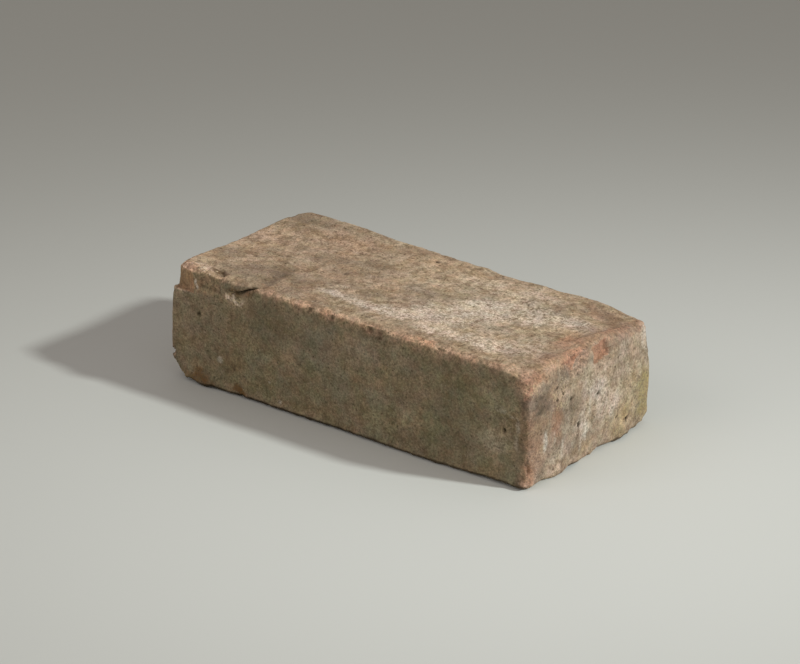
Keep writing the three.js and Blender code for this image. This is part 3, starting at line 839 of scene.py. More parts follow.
# Lighter spots: tone of the clay, and at a few spots painted light.
LIGHTER = [  # mottles and faces lighter than the rest
    *on_end(
        106, 6,
        (20, 18, 16, 11, 0.5), (8, 46, 9, 7, 0.5), (28, 14, 9, 8, 0.5), (-16, 54, 7, 5, 0.5),
        (36, 30, 6, 8, 0.8), (28, 10, 6, 5, 0.6), (18, 3, 8, 3, 0.3), (-27, 5, 4, 4, 0.6),
    ),
    *on_front(
        -50, 6,
        (-98, 48, 9, 10, 0.8), (-96, 30, 9, 14, 0.5), (87, 21, 12, 8, 0.55), (10, 48, 10, 8, 0.4),
        (-72, 50, 14, 6, 0.6), (-30, 30, 10, 12, 0.2), (40, 18, 8, 6, 0.7), (-20, 8, 10, 8, 0.6),
        (22, 10, 8, 7, 0.5), (-95, 8, 8, 5, 0.5), (80, 39, 9, 8, 0.7),
    ),
    # In the next group, (-66, 51.4) and (-61, 50.6) are painted light on the nodules under the lip.
    *on_front(
        -50.5, 4,
        (-66, 51.4, 5, 2.6, 1), (-61, 50.6, 3, 2, 0.8), (-3, 52, 6, 3, 0.6), (17, 54, 5, 2.5, 0.5),
    ),
    *on_bed(
        57, 6,
        (38, 34, 32, 12, 0.8), (0, 34, 22, 12, 0.5), (42, 4, 14, 12, 0.5), (68, -2, 18, 14, 0.6),
        (42, -32, 16, 7, 0.7), (70, -32, 14, 8, 0.9), (2, 14, 16, 8, 0.6), (62, -20, 14, 6, 1),
        (10, -20, 8, 5, 0.4), (42, 17, 8, 5, 0.6), (56, -20, 8, 5, 1), (40, 4, 7, 6, 0.4),
        (70, -8, 7, 6, 0.5), (8, 8, 9, 8, 0.5), (9, -36, 7, 7, 0.5), (25, -23, 5, 4, 0.6),
        (71, 2, 5, 4, 0.6), (19, -23.5, 6, 5, 0.7), (-14, -11, 7, 6, 0.5),
    ),
    *on_bed(
        56, 6,
        (85, 8, 10, 8, 0.5), (86, 4, 8, 8, 0.4), (90, -43, 14, 5, 0.6), (72, 16, 8, 5, 0.6),
        (62, 4, 6, 5, 0.6),
    ),
    # (-8, -48) and (50, -48) below are painted light on the front's upper arris.
    (-20, -21, 58, 9, 5, 6, 1), (98, 40, 55, 5, 5, 5, 0.5), (-50, 28, 58, 9, 6, 6, 0.5),
    (-8, -48, 58, 10, 4, 4, 0.9), (50, -48, 57, 14, 4, 4, 1), (-101, -44, 57, 7, 4, 3, 1),
    (-94, -45, 56, 5, 5, 3, 0.9), (-88, -46.5, 57, 5, 4, 4, 0.6), (-80, 28, 58, 8, 6, 5, 0.5),
    (73, 40, 55, 6, 5, 6, 0.7),
]
# Darker spots: tone of the clay, and at a few spots painted shade.
DARKER = [  # mottles and hollows darker than the rest
    *on_end(
        106, 6,
        (-45, 36, 8, 12, 1), (-30, 30, 8, 10, 0.9), (-38, 22, 10, 14, 0.7), (-12, 10, 8, 7, 0.4),
        (-40, 42, 9, 6, 1), (27, 5, 6, 3, 0.4), (-36, 36, 7, 6, 0.7), (-24, 26, 8, 5, 0.6),
        (-40, 8, 6, 8, 0.7), (-40, 40, 10, 8, 0.9), (-28, 48, 6, 6, 0.8), (-14, 32, 7, 5, 0.6),
        (28, 51, 6, 3, 0.6), (-30, 20, 10, 10, 0.8), (-16, 30, 6, 6, 0.6), (-44, 22, 5, 8, 0.6),
        (0, 21, 5, 4, 0.5), (-4, 12, 4, 5, 0.5),
    ),
    *on_end(
        106.5, 5,
        (25, 44, 8, 5, 0.5), (-38, 42.6, 6, 5, 0.8), (-19, 51.5, 4, 3, 0.6),
    ),
    *on_front(
        -50, 6,
        (-44, 42, 16, 14, 0.9), (-34, 18, 12, 10, 0.3), (68, 30, 15, 28, 0.6), (56, 8, 12, 8, 0.4),
        (48, 48, 14, 8, 0.5), (55, 28, 8, 8, 0.4), (40, 28, 7, 5, 0.5), (24, 18, 6, 5, 0.4),
        (-106, 13, 4, 5, 0.8),
    ),
    *on_bed(
        58, 6,
        (-88, 34, 20, 16, 0.9), (-62, -28, 18, 14, 1), (-42, -24, 14, 12, 0.8), (-44, -40, 16, 8, 0.6),
        (-94, -20, 10, 10, 0.9), (-76, -38, 9, 7, 0.8), (-50, 4, 14, 8, 0.9), (-78, -8, 12, 8, 0.5),
        (-4, -34, 8, 4, 0.5), (-28, 12, 12, 10, 0.5), (-34, -6, 7, 7, 0.5), (-50, 4, 8, 7, 0.6),
        (-34, -18, 8, 6, 0.4), (-9, -26, 6, 4, 0.5),
    ),
    *on_bed(
        57, 6,
        (-34, 4, 20, 14, 0.4), (57, 4, 7, 6, 0.7), (-28, 40, 12, 6, 0.5), (25, 4, 6, 6, 0.4),
        (-60, 40, 10, 8, 0.4),
    ),
    *on_bed(
        55, 6,
        (100, 20, 10, 28, 0.8), (78, 38, 14, 9, 0.7), (90, 36, 6, 6, 1),
    ),
    *on_bed(
        56, 6,
        (100, -20, 6, 9, 0.8), (84, -32, 8, 5, 0.5), (70, 28, 7, 5, 0.6), (83, 16, 6, 4, 0.6),
        (42, 32, 7, 5, 0.6),
    ),
    # In the next group, (-80, -42) is painted shadow in the wedge beside the scar's step.
    *on_bed(
        59, 5,
        (-66, -38, 12, 7, 0.5), (-80, -42, 4, 2.5, 0.9), (-60, -36, 20, 9, 0.5),
    ),
    # (104.5, -49, 45), (105, -49, 22), (104, -50, 2.5), (106, -46.5, 18) and (103, -50, 4) are painted shade
    # on the front's right arris, where the front's shade reaches round it.
    (104.5, -49, 45, 4, 3.5, 5, 1), (104, -46, 54, 5, 5, 4, 0.9), (106, -37, 5, 5, 3, 4, 0.5),
    (105, -49, 22, 4, 4, 16, 0.6), (98, 30, 54, 7, 8, 5, 0.5), (32, -42, 57, 12, 4, 5, 0.6),
    (40, 40, 56, 8, 5, 5, 0.5), (-26, -42, 58, 16, 4, 5, 0.5), (104, -50, 2.5, 5, 3, 4, 1),
    (106, 8, 51, 5, 8, 5, 0.6), (103, 37, 52, 5, 5, 3, 0.6), (106, -46.5, 18, 4, 3, 16, 0.8),
    (100, 32, 54, 5, 5, 5, 0.5), (73.6, 19.4, 55.5, 6, 5, 6, 0.9), (80, -32, 56, 5, 5, 5, 0.6),
    (102, -40, 54.5, 5, 6, 4, 0.7), (103, -50, 4, 6, 4, 5, 0.8), (30, -38, 57, 6, 4, 5, 0.6),
    (91, -40, 55.5, 5, 5, 4, 0.5),
]
WARMER = [  # redder casts
    *on_end(
        106, 6,
        (-45, 16, 8, 14, 0.9), (20, 46, 14, 8, 0.3), (-34, 30, 12, 14, 0.4), (-29, 27, 5, 11, 1),
    ),
    *on_front(
        -50, 6,
        (-98, 30, 11, 24, 0.7), (-72, 40, 18, 14, 0.6), (-36, 32, 9, 14, 0.4), (8, 46, 13, 11, 0.9),
        (-6, 38, 9, 10, 0.6), (42, 32, 9, 12, 0.4), (103, 22, 6, 26, 1), (86, 20, 9, 8, 0.4),
    ),
    *on_bed(
        58, 6,
        (-62, 26, 28, 16, 0.6), (-94, 8, 12, 12, 0.8), (-42, -40, 18, 8, 0.5), (-62, -4, 56, 44, 0.35),
    ),
    (98, 0, 56, 9, 34, 6, 1), (88, 34, 55, 14, 9, 6, 0.8), (102, -32, 56, 7, 8, 6, 0.7),
]
COOLER = [  # greener casts
    *on_front(
        -50, 6,
        (-50, 14, 12, 14, 0.7), (-20, 34, 7, 24, 0.7), (24, 10, 10, 12, 0.9), (55, 16, 10, 10, 1),
        (70, 38, 10, 10, 0.6), (86, 38, 12, 8, 0.4), (26, 40, 5, 8, 0.6),
    ),
    (26, 6, 57, 20, 14, 6, 0.3), (106, 41, 22, 6, 8, 28, 0.8), (50, 0, 57, 50, 34, 6, 0.35),
    (106, 6, 30, 6, 40, 30, 0.3), (-2, -50.5, 52, 7, 4, 4, 0.6),
]
YELLOWER = [  # yellower casts
    *on_front(
        -50, 6,
        (68, 42, 16, 8, 0.5), (-40, 8, 34, 6, 0.5), (-66, 17, 9, 6, 0.6), (42, 8, 9, 5, 0.6),
        (94, 36, 9, 3, 0.8),
    ),
    (106, -40, 26, 6, 9, 14, 0.8), (106, -8, 8, 6, 8, 4, 0.8), (86, -20, 56, 8, 7, 6, 0.6),
    (100, 4, 55, 6, 9, 6, 0.5),
]
GREYER = [  # greyer casts
    *on_end(
        106, 6,
        (15, 20, 12, 8, 0.8), (-12, 18, 5, 5, 0.6), (0, 34, 11, 5, 0.8), (-16, 51, 9, 4, 0.9),
        (-20, 10, 5, 4, 0.8),
    ),
    *on_front(
        -50, 6,
        (-95, 38, 12, 14, 0.7), (-12, 38, 18, 14, 0.9), (12, 42, 12, 10, 0.7), (36, 46, 14, 6, 0.5),
    ),
    *on_bed(
        57, 6,
        (8, -6, 11, 24, 0.8), (10, -38, 12, 6, 0.6), (44, 12, 16, 8, 0.5), (60, -14, 13, 8, 0.9),
    ),
    (-20, -24, 58, 9, 9, 6, 0.7),
]
MOSS = [  # dry growth by the back right arris
    *on_end(
        106, 7,
        (43, 17, 7, 16, 1), (24, 10, 15, 9, 0.55), (32, 20, 12, 12, 0.4),
    ),
    (104, 50, 19, 9, 6, 17, 0.9),
]
RUST_AND_SHADE = [  # iron spots
    *on_front(
        -51, 4,
        (-63.5, 2.5, 3, 2.4, 1), (-81, 2.2, 3, 2, 0.7), (-65.5, 3.8, 4.5, 2.4, 1), (-90, 6, 7, 3, 0.8),
    ),
    (-91, -50.5, 3, 9, 5, 3.5, 0.8), (105, -49.5, 12, 3, 3, 4.5, 0.6),
    # (-65, -51), (-58, -51) and (-54, -49) below are painted shade in the crease under the lip.
    (-82.5, -41.2, 58.6, 5.5, 1.8, 3, 0.8), (-65, -51, 53.4, 7, 3, 2, 0.9),
    (-58, -51, 56.4, 5, 3, 2.6, 0.9), (-54, -49, 58.6, 3, 3, 2, 0.7),
]
CRUMBLED = [  # where the skin has crumbled
    (104, -46, 51, 8, 9, 8, 1), (104, -44, 53, 6, 7, 5, 0.8), (105, -48, 28, 5, 5, 18, 0.6),
    (105, -48, 6, 5, 5, 10, 1), (-8, -48, 56, 30, 5, 4, 0.5), (50, -48, 55, 40, 5, 4, 0.7),
    (104, 0, 54, 5, 44, 4, 0.6), (-98, -44, 57, 10, 8, 4, 0.5), (106, -30, 41, 5, 16, 8, 0.5),
    (0, -49, 1, 105, 5, 3, 0.4), (106, 0, 1, 5, 50, 4, 0.6),
]
# Painted shade in the gap where the right end hangs over the floor.
FOOT_GAP_SHADE_SPOTS = [  # where the right end hangs over the floor
    *on_end(
        106, 5,
        (-14, 0, 5, 6, 1), (24, 0, 8, 6, 1), (40, 0, 5, 6, 0.6),
    ),
]
GRITTY = [  # coarse, pitted skin
    (-86, -44.5, 59, 12, 6, 3, 1), (-97, -40, 59, 8, 6, 3, 0.7), (106, -26, 40, 6, 9, 9, 0.6),
    (105, -45, 48.5, 5, 6, 4, 0.6), (-66.5, -50.5, 52, 4.5, 4, 2.4, 1), (-61.5, -50.5, 51.5, 3, 3, 2, 0.9),
]


# ---- the brick ----

FLAKE_SEED, CHIP_SEED, PIT_SEED = 40, 60, 100
PIT_REACH, PIT_PULL = 4.5, 0.6  # how far from a pit the mesh is drawn towards it, and how strongly

# Along X, Y and Z: the lengths at the two ends over which the mesh is fine, and what the fine and
# the open step are multiplied by.
FINE_ZONES = ((64, 16), (12, 9), (5, 14))
STEP_SCALES = ((1, 1), (1, 1), (1.15, 0.9))


def box_grid(block):
    """Points of the sharp block and its quads, with the points gathered at the pits and at the slit."""
    spans = (block.length, block.width, block.height)
    lines = [
        graded_lines(length, block.fine_step * fine, block.open_step * opened, *zones)
        for length, (fine, opened), zones in zip(spans, STEP_SCALES, FINE_ZONES)
    ]
    lines[2] = lines[2] + block.height / 2
    counts = [len(line) - 1 for line in lines]
    index, quads = box_skin(counts)
    p = np.stack([lines[axis][index[:, axis]] for axis in range(3)], 1)
    free = ~((index == 0) | (index == counts))
    for at, _, _ in pits(block):
        p = gathered(p, free, at, PIT_REACH, PIT_PULL)
    return gathered_at_slit(p, block), quads


def foot_gap_shade(p, block):
    """How much painted shade lies on the foot, standing in for the dark gap under the lower arris: full at
    the floor and gone at about 2 mm, a little less towards the right, and on the right end mostly in the
    spots where it hangs over the floor."""
    foot = 1 - smoothstep(p[:, 2] + 0.45 * noise(p, 4.0, 221), 1.3, 2.3)
    foot *= 1.1 - 0.25 * smoothstep(p[:, 0], -30, 40)
    on_right = smoothstep(p[:, 0], block.right(4), block.right(1.5))
    on_right *= smoothstep(p[:, 1], block.front(0.5), block.front(3))
    return np.clip(foot * (1 - 0.85 * on_right * (1 - patch(p, FOOT_GAP_SHADE_SPOTS))), 0, 1)


def broken_out(p, quads, scar, block):
    """The skin with the flakes, the chips and the pits broken out of it. Returns the points and
    how much each is rough broken clay, smooth split clay, spalled, and in a pit."""
    broken = np.maximum(0.6 * scar, 0.85 * patch(p, CRUMBLED))
    split, spalled, pitted = np.zeros((3, len(p)))
    for seed, (*shape, rough, finish) in enumerate(flakes(block)):
        p, went = break_flake(p, *shape, rough, FLAKE_SEED + seed)
        cut = smoothstep(went, 0.0, 0.6)
        broken = np.maximum(broken, cut * min(rough / 0.5, 1))
        if finish == "spalled":
            spalled = np.maximum(spalled, smoothstep(went, 0.02, 0.2))
        elif finish == "split":
            split = np.maximum(split, cut)
    normals = outward(p, quads)
    for seed, (at, half, turn) in enumerate(chips(block)):
        p, went = break_lump(p, normals, at, half, turn, 0.25, CHIP_SEED + seed)
        broken = np.maximum(broken, smoothstep(went, 0.0, 0.8) * (max(half) > 3))
    for seed, (at, radius, way) in enumerate(pits(block)):
        near = np.argmin(((p - at) ** 2).sum(1) - 2 * np.abs((p - at) @ np.array(way)))
        middle = p[near] if np.linalg.norm(p[near] - at) < 6 else np.array(at)
        p, went = break_lump(p, normals, middle, (radius,) * 3, (0, 0, 0), 0.3, PIT_SEED + seed, 8.0)
        pitted = np.maximum(pitted, smoothstep(went, 0.1, 0.8 * radius))
    return p, broken, split, spalled, pitted


def relief_height(p, normals, arris, broken, plain, relief):
    """Height of the relief in mm: mottle and sand everywhere, crags on broken clay, the arrises
    nibbled away, and upright drag marks on the right end. plain is 0 where the clay is smooth."""
    x, y, _ = p.T
    sand = layered(p, 2.6, 2, 5, 0.6)
    mottle = layered(p, 9.0, 2, 9, 0.6)
    craggy = layered(warped(p, 3.0, 0.8, 21), 3.6, 3, 25, 0.6)
    nibble = np.clip(layered(p, 5.5, 3, 31, 0.65) + 0.05, 0, None)
    on_right = smoothstep(np.abs(normals[:, 0]), 0.5, 0.85) * (x > 0)
    drag = layered(p * (1, 1, 0.12), 1.9, 2, 37, 0.6) * on_right * (0.4 + 0.6 * smoothstep(-y, -20, 20))
    fine = (
        relief.sand_depth * sand
        + relief.break_depth * (craggy - 0.2) * broken
        - relief.nibble_depth * nibble * arris * (1 - 0.5 * broken)
        + relief.drag_depth * drag
    )
    return (relief.mottle_depth * mottle + fine * plain) / MM


def raised(p, normals, height):
    """Points moved along their normals by height, hardly at all downwards near the floor, and
    never below it."""
    lift = height[:, None] * normals
    off_floor = smoothstep(p[:, 2], 0.4, 3.0)
    downwards = np.maximum(lift[:, 2], 0) * 0.6 + lift[:, 2] * 0.4 * off_floor
    lift[:, 2] = np.where(normals[:, 2] < 0, downwards, lift[:, 2])
    out = p + lift
    out[:, 2] = np.maximum(out[:, 2], 0)
    return out


def skin_masks(p, quads, normals, ridge, arris, height):
    """How far each point is on a long side or an end, on a worn arris (kept to its side towards the light, so
    partly painted light), in painted shade in creases, or in the spots of what lies on the clay and of
    painted light and shade. Spots have ragged borders, from noise added to the places. height is how high
    each point lay before the relief."""
    spots = warped(warped(p, 6.0, 2.2, 71), 2.0, 0.7, 75)
    tight = warped(p, 1.8, 0.45, 79)
    fine_ridge = ((p - relaxed(p, quads, 3)) * normals).sum(1)
    behind = normals[:, 1] > 0
    sideways = np.abs(normals[:, 1]) + np.where(behind, 0.15, 0) * noise(p, 5.0, 229)
    rubbed_and_lit = patch(spots, RUBBED) * (0.4 + 0.9 * smoothstep(ridge, 0.05, 0.6))
    rubbed_and_lit += 0.5 * arris * smoothstep(height, 8, 14) * smoothstep(noise(p, 14, 83), -0.4, 0.1)
    return {
        "side": smoothstep(sideways, np.where(behind, 0.35, 0.6), np.where(behind, 1.05, 0.9)),
        "header": smoothstep(np.abs(normals[:, 0]), 0.5, 0.85),
        # Worn arrises, but kept off where they turn to the front, which lies in shade: partly wear, partly
        # painted light.
        "rubbed_and_lit": np.clip(rubbed_and_lit, 0, 1) * (1 - 0.85 * smoothstep(-normals[:, 1], 0.8, 0.95)),
        # Painted shade in creases.
        "crease_shade": smoothstep(-fine_ridge, 0.06, 0.4),
        "lime": patch(spots, LIME),
        "grey": patch(spots, GREY),
        "ochre": patch(spots, OCHRE),
        "red": patch(spots, RED),
        "shade": patch(spots, LIGHTER) - patch(spots, DARKER),
        "hue": patch(spots, WARMER) - patch(spots, COOLER),
        "tint": patch(spots, YELLOWER) - patch(spots, GREYER),
        "chalk": patch(tight, CHALK),
        "moss": patch(spots, MOSS),
        "rust_and_shade": patch(spots, RUST_AND_SHADE),
        "gritty": patch(spots, GRITTY),
    }


def painted_light_band(p, smooth, normals):
    """How much each point lies on the front's upper arris, right of the fold, where it is turned half up: a
    band of painted light that keeps it light where the shading falls off towards the front. smooth has the
    points before the relief."""
    x, _, z = smooth.T
    forward = -normals[:, 1]
    band = smoothstep(forward, 0.35, 0.6) * (1 - smoothstep(forward, 0.86, 0.93)) * smoothstep(z, 44, 50)
    return band * smoothstep(x, -52, -40) * (0.7 + 0.4 * noise(p, 4.0, 227))


def brick_surface(block, relief):
    """Points in mm, quads and masks of the brick's skin. A box's grid is moulded, folded, broken
    and pitted, and then given its relief along its normals."""
    sharp, quads = box_grid(block)
    p, slit, scar, under_lip = folded(moulded(sharp, block), sharp, block)
    # Painted shade: the slit, the shade under the lip, the gap under the lower arris and the pits are
    # darkened in the colour.
    painted_shade = np.maximum(0.46 * smoothstep(slit, 0.1, 0.6), 0.4 * under_lip)
    painted_shade = np.maximum(painted_shade, foot_gap_shade(p, block))
    smooth, broken, split, spalled, pitted = broken_out(undercut(p, block), quads, scar, block)

    normals = outward(relaxed(smooth, quads, 2), quads)
    ridge = ((smooth - relaxed(smooth, quads, 14)) * normals).sum(1)
    arris = smoothstep(ridge, 0.25, 0.9)
    broken = relaxed(broken, quads, 1)
    plain = (1 - split) * (1 - smoothstep(slit, 0.02, 0.3))
    height = relief_height(smooth, normals, arris, broken, plain, relief)
    p = raised(smooth, normals, height)

    masks = skin_masks(p, quads, normals, ridge, arris, smooth[:, 2])
    masks["crease_shade"] *= 1 - split
    # Painted light on the front's upper arris, added to the lighter spots.
    masks["shade"] += 1.1 * painted_light_band(p, smooth, normals)
    masks |= {"broken": broken, "split": split, "spalled": spalled, "painted_shade": np.maximum(painted_shade, pitted)}
    return p, quads, masks


def within(p, low, high, margin=0.01):
    """Points scaled a little along each axis, if they must be, to lie inside a box."""
    low, high = np.array(low) + margin, np.array(high) - margin
    own_low, own_high = p.min(0), p.max(0)
    new_low, new_high = np.maximum(own_low, low), np.minimum(own_high, high)
    new_low[2] = max(own_low[2], low[2] - margin)
    return new_low + (p - own_low) * (new_high - new_low) / (own_high - own_low)


def quad_piece(name, p, quads, masks):
    """An object at the origin whose mesh has the points in mm, the quads and one number a point
    for each mask, shaded smooth."""
    mesh = bpy.data.meshes.new(name)
    mesh.vertices.add(len(p))
    mesh.vertices.foreach_set("co", (p * MM).astype(np.float32).ravel())
    mesh.loops.add(quads.size)
    mesh.loops.foreach_set("vertex_index", quads.astype(np.int32).ravel())
    mesh.polygons.add(len(quads))
    mesh.polygons.foreach_set("loop_start", np.arange(0, quads.size, 4, dtype=np.int32))
    mesh.update(calc_edges=True)
    for key, values in masks.items():
        mesh.attributes.new(key, "FLOAT", "POINT").data.foreach_set("value", values.astype(np.float32))
    mesh.shade_smooth()
    if mesh.validate():
        raise RuntimeError(f"{name} has faults in its mesh")
    piece = bpy.data.objects.new(name, mesh)
    bpy.context.scene.collection.objects.link(piece)
    return piece


# ---- the clay's finish ----


class Finish:
    """Short ways to add nodes to a material."""

    def __init__(self, name):
        self.material = bpy.data.materials.new(name)
        self.material.use_nodes = True
        self.tree = self.material.node_tree
        self.shader = self.tree.nodes["Principled BSDF"]
        self.place = self.tree.nodes.new("ShaderNodeTexCoord").outputs["Object"]

    def link(self, value, socket):
        """A socket joined to another, or set to a number or a colour."""
        if isinstance(value, bpy.types.NodeSocket):
            self.tree.links.new(value, socket)
        elif hasattr(socket.default_value, "__len__"):
            socket.default_value = (*value, 1.0)[: len(socket.default_value)]
        else:
            socket.default_value = value

    def math(self, operation, *values):
        """The result of one operation on values or sockets."""
        node = self.tree.nodes.new("ShaderNodeMath")
        node.operation = operation
        for value, socket in zip(values, node.inputs):
            self.link(value, socket)
        return node.outputs[0]

    def times(self, a, b):
        """The product of two values or sockets."""
        return self.math("MULTIPLY", a, b)

    def spread(self, value, low, high, to_low=0.0, to_high=1.0):
        """value taken smoothly from low..high to to_low..to_high."""
        node = self.tree.nodes.new("ShaderNodeMapRange")
        node.interpolation_type = "SMOOTHSTEP"
        for given, socket in zip((value, low, high, to_low, to_high), node.inputs):
            self.link(given, socket)
        return node.outputs[0]

    def noise(self, width_mm, detail=2.0, roughness=0.55, stretch=None, shift=0.0):
        """Noise whose blobs are about width_mm wide, from 0 to 1."""
        node = self.tree.nodes.new("ShaderNodeTexNoise")
        self.link(self.stretched(stretch, shift), node.inputs["Vector"])
        node.inputs["Scale"].default_value = 1 / (width_mm * MM)
        node.inputs["Detail"].default_value = detail
        node.inputs["Roughness"].default_value = roughness
        return node.outputs["Fac"]

    def grains(self, width_mm, shift=0.0):
        """Distance to the nearest of scattered grains about width_mm apart, 0 at their middles."""
        node = self.tree.nodes.new("ShaderNodeTexVoronoi")
        self.link(self.stretched(None, shift), node.inputs["Vector"])
        node.inputs["Scale"].default_value = 1 / (width_mm * MM)
        return node.outputs["Distance"], node.outputs["Color"]

    def specks(self, apart_mm, share, size, shift):
        """Round specks, 1 inside and 0 outside: of cells about apart_mm wide the given share hold
        one, whose radius is size cells."""
        distance, colour = self.grains(apart_mm, shift)
        parts = self.tree.nodes.new("ShaderNodeSeparateColor")
        self.link(colour, parts.inputs[0])
        held = self.math("LESS_THAN", parts.outputs[0], share)
        return self.times(held, self.spread(distance, 0.6 * size, size, 1.0, 0.0))

    def stretched(self, stretch, shift):
        """The object's coordinates, stretched along its axes and shifted by shift metres."""
        if stretch is None and not shift:
            return self.place
        node = self.tree.nodes.new("ShaderNodeMapping")
        node.inputs["Scale"].default_value = stretch or (1, 1, 1)
        node.inputs["Location"].default_value = (shift, shift * 0.7, -shift)
        self.link(self.place, node.inputs["Vector"])
        return node.outputs["Vector"]

    def mask(self, name):
        """One of the numbers that the mesh has at each point."""
        node = self.tree.nodes.new("ShaderNodeAttribute")
        node.attribute_type = "GEOMETRY"
        node.attribute_name = name
        return node.outputs["Fac"]

    def mix(self, factor, under, over, blend="MIX"):
        """Two colours, or two numbers, mixed by factor."""
        node = self.tree.nodes.new("ShaderNodeMix")
        node.data_type = "RGBA"
        node.blend_type = blend
        node.clamp_factor = True
        self.link(factor, node.inputs["Factor"])
        self.link(under, node.inputs[6])
        self.link(over, node.inputs[7])
        return node.outputs[2]

    def film(self, under, over, mask, texture, amount, bare):
        """A colour laid over another, by mask times amount, more where the texture is high; where
        it is low the share bare of it is left."""
        spread = self.spread(texture, 0.38, 0.62, bare * amount, amount)
        return self.mix(self.times(mask, spread), under, over)

    def mottled(self, under, over, texture, low, high, most=1.0):
        """A colour laid over another where the texture is high, by up to most."""
        return self.mix(self.spread(texture, low, high, 0.0, most), under, over)

    def shaded(self, colour, shade):
        """A colour times a number."""
        node = self.tree.nodes.new("ShaderNodeCombineColor")
        for socket in node.inputs:
            self.link(shade, socket)
        return self.mix(1.0, colour, node.outputs[0], "MULTIPLY")


# What the skin's colour is multiplied by: on the ends, and at the two ends of each of its casts.
END_CAST = (0.9, 0.917, 1.0)
GREEN_CAST, RED_CAST = (0.933, 1.026, 0.997), (1.067, 0.974, 1.003)
BLUE_CAST, YELLOW_CAST = (0.98, 1.002, 1.09), (1.02, 0.998, 0.91)


class Clay(Finish):
    """The fired clay's layers, and the textures that they share."""

    def __init__(self, name, colours):
        super().__init__(name)
        self.colours = colours
        self.header = self.mask("header")
        self.broad, self.patches = self.noise(26, 3.0), self.noise(8, 4.0, 0.6, shift=0.3)
        self.small, self.speckle = self.noise(3.2, 4.0, 0.65, shift=0.7), self.noise(1.1, 3.0, 0.7, shift=1.1)
        self.streaks = self.noise(1.7, 4.0, 0.65, stretch=(1, 1, 0.14), shift=0.5)
        self.pore, _ = self.grains(2.6, 0.9)
        self.gritty = self.math("ADD", self.times(self.small, 0.5), self.times(self.speckle, 0.5))
        self.run = self.mix(self.times(self.header, 0.3), self.gritty, self.streaks)

    def by_side(self, elsewhere, on_side):
        """A number that changes from the beds and the ends to the long sides."""
        return self.spread(self.mask("side"), 0.0, 1.0, elsewhere, on_side)

    def skin(self):
        """The weathered skin: brown and tan mottles with orange in them, umber and olive ones on
        the long sides, and a greyer cast on the ends."""
        colours = self.colours
        mottle = self.math("ADD", self.times(self.patches, 0.45), self.times(self.small, 0.55))
        worn = self.mix(self.times(self.header, 0.15), mottle, self.streaks)
        skin = self.mottled(colours.brown, colours.tan, worn, 0.36, 0.62)
        skin = self.mottled(skin, colours.orange, self.noise(14, 3.0, 0.6, shift=2.1), 0.42, 0.68, 0.3)
        side = self.mottled(colours.umber, colours.olive, mottle, 0.4, 0.6)
        side = self.mottled(side, colours.slate, self.noise(11, 4.0, 0.6, shift=2.9), 0.42, 0.66, 0.5)
        side = self.mottled(side, colours.brown, self.noise(6, 4.0, 0.65, shift=3.7), 0.44, 0.66, 0.35)
        skin = self.mix(self.mask("side"), skin, side)
        return self.mix(self.header, skin, self.mix(1.0, skin, END_CAST, "MULTIPLY"))

    def films(self, skin):
        """Bared clay, what has settled on it, and painted light and shade at some of its spots. Each film has
        a colour, a mask, a texture, its amount and the share of it that is left where the texture is low."""
        colours, mask, broken = self.colours, self.mask, self.mask("broken")
        for colour, where, texture, amount, bare in (
            (colours.orange, mask("ochre"), self.small, 0.7, 0.25),
            # Grey smudges, with painted shade at a few of the spots.
            (colours.soot_and_shade, mask("grey"), self.gritty, 0.85, 0.4),
            (colours.lime, mask("lime"), self.run, 0.95, 0.12),
            # Worn arrises, kept to their side towards the light: partly wear, partly painted light.
            (colours.peach, mask("rubbed_and_lit"), self.gritty, 0.9, 0.4),
            (colours.peach, self.times(broken, broken), self.gritty, 0.6, 0.3),
            (colours.red, mask("red"), self.gritty, 0.95, 0.5),
            (colours.split, mask("split"), self.small, 0.9, 0.8),
            (colours.red, mask("spalled"), self.gritty, 0.9, 0.7),
            (colours.moss, mask("moss"), self.gritty, 0.8, 0.4),
            # Iron spots, and painted shade in the crease under the lip.
            (colours.rust_and_shade, mask("rust_and_shade"), self.speckle, 0.95, 0.6),
        ):
            skin = self.film(skin, colour, where, texture, amount, bare)
        return skin

    def casts(self, skin):
        """The skin redder or greener and yellower or greyer, by spots of two sizes and by the
        masks, whatever its lightness."""
        redder = self.spread(self.noise(1.6, 2.0, 0.5, shift=4.3), 0.35, 0.65, -0.12, 0.12)
        wide = self.spread(self.noise(6, 3.0, 0.6, shift=5.1), 0.35, 0.65, -1.0, 1.0)
        redder = self.math("MULTIPLY_ADD", wide, self.by_side(0.19, 0.32), redder)
        redder = self.math("ADD", self.math("MULTIPLY_ADD", self.mask("hue"), 0.36, 0.6), redder)
        yellower = self.spread(self.noise(9, 3.0, 0.6, shift=8.1), 0.35, 0.65, 0.27, 0.73)
        yellower = self.math("MULTIPLY_ADD", self.mask("tint"), 0.45, yellower)
        skin = self.mix(1.0, skin, self.mix(redder, GREEN_CAST, RED_CAST), "MULTIPLY")
        return self.mix(1.0, skin, self.mix(yellower, BLUE_CAST, YELLOW_CAST), "MULTIPLY")

    def shades(self, skin):
        """Dark and light grains of the clay, and the broader shading of the mottles and masks, with painted
        light and shade at some spots and on the front's upper arris.
        """
        sand = self.noise(0.7, 3.0, 0.7, shift=6.3)
        shade = self.spread(self.small, 0.35, 0.65, 0.14, 0.4)
        for light in (
            self.spread(self.speckle, 0.3, 0.7, 0.71, 1.3),
            self.spread(self.broad, 0.3, 0.7, 0.93, 1.08),
            self.spread(sand, 0.34, 0.66, self.by_side(0.97, 0.9), self.by_side(1.03, 1.1)),
            self.math("MULTIPLY_ADD", self.mask("shade"), shade, 1.0),
        ):
            skin = self.shaded(skin, light)
        return skin

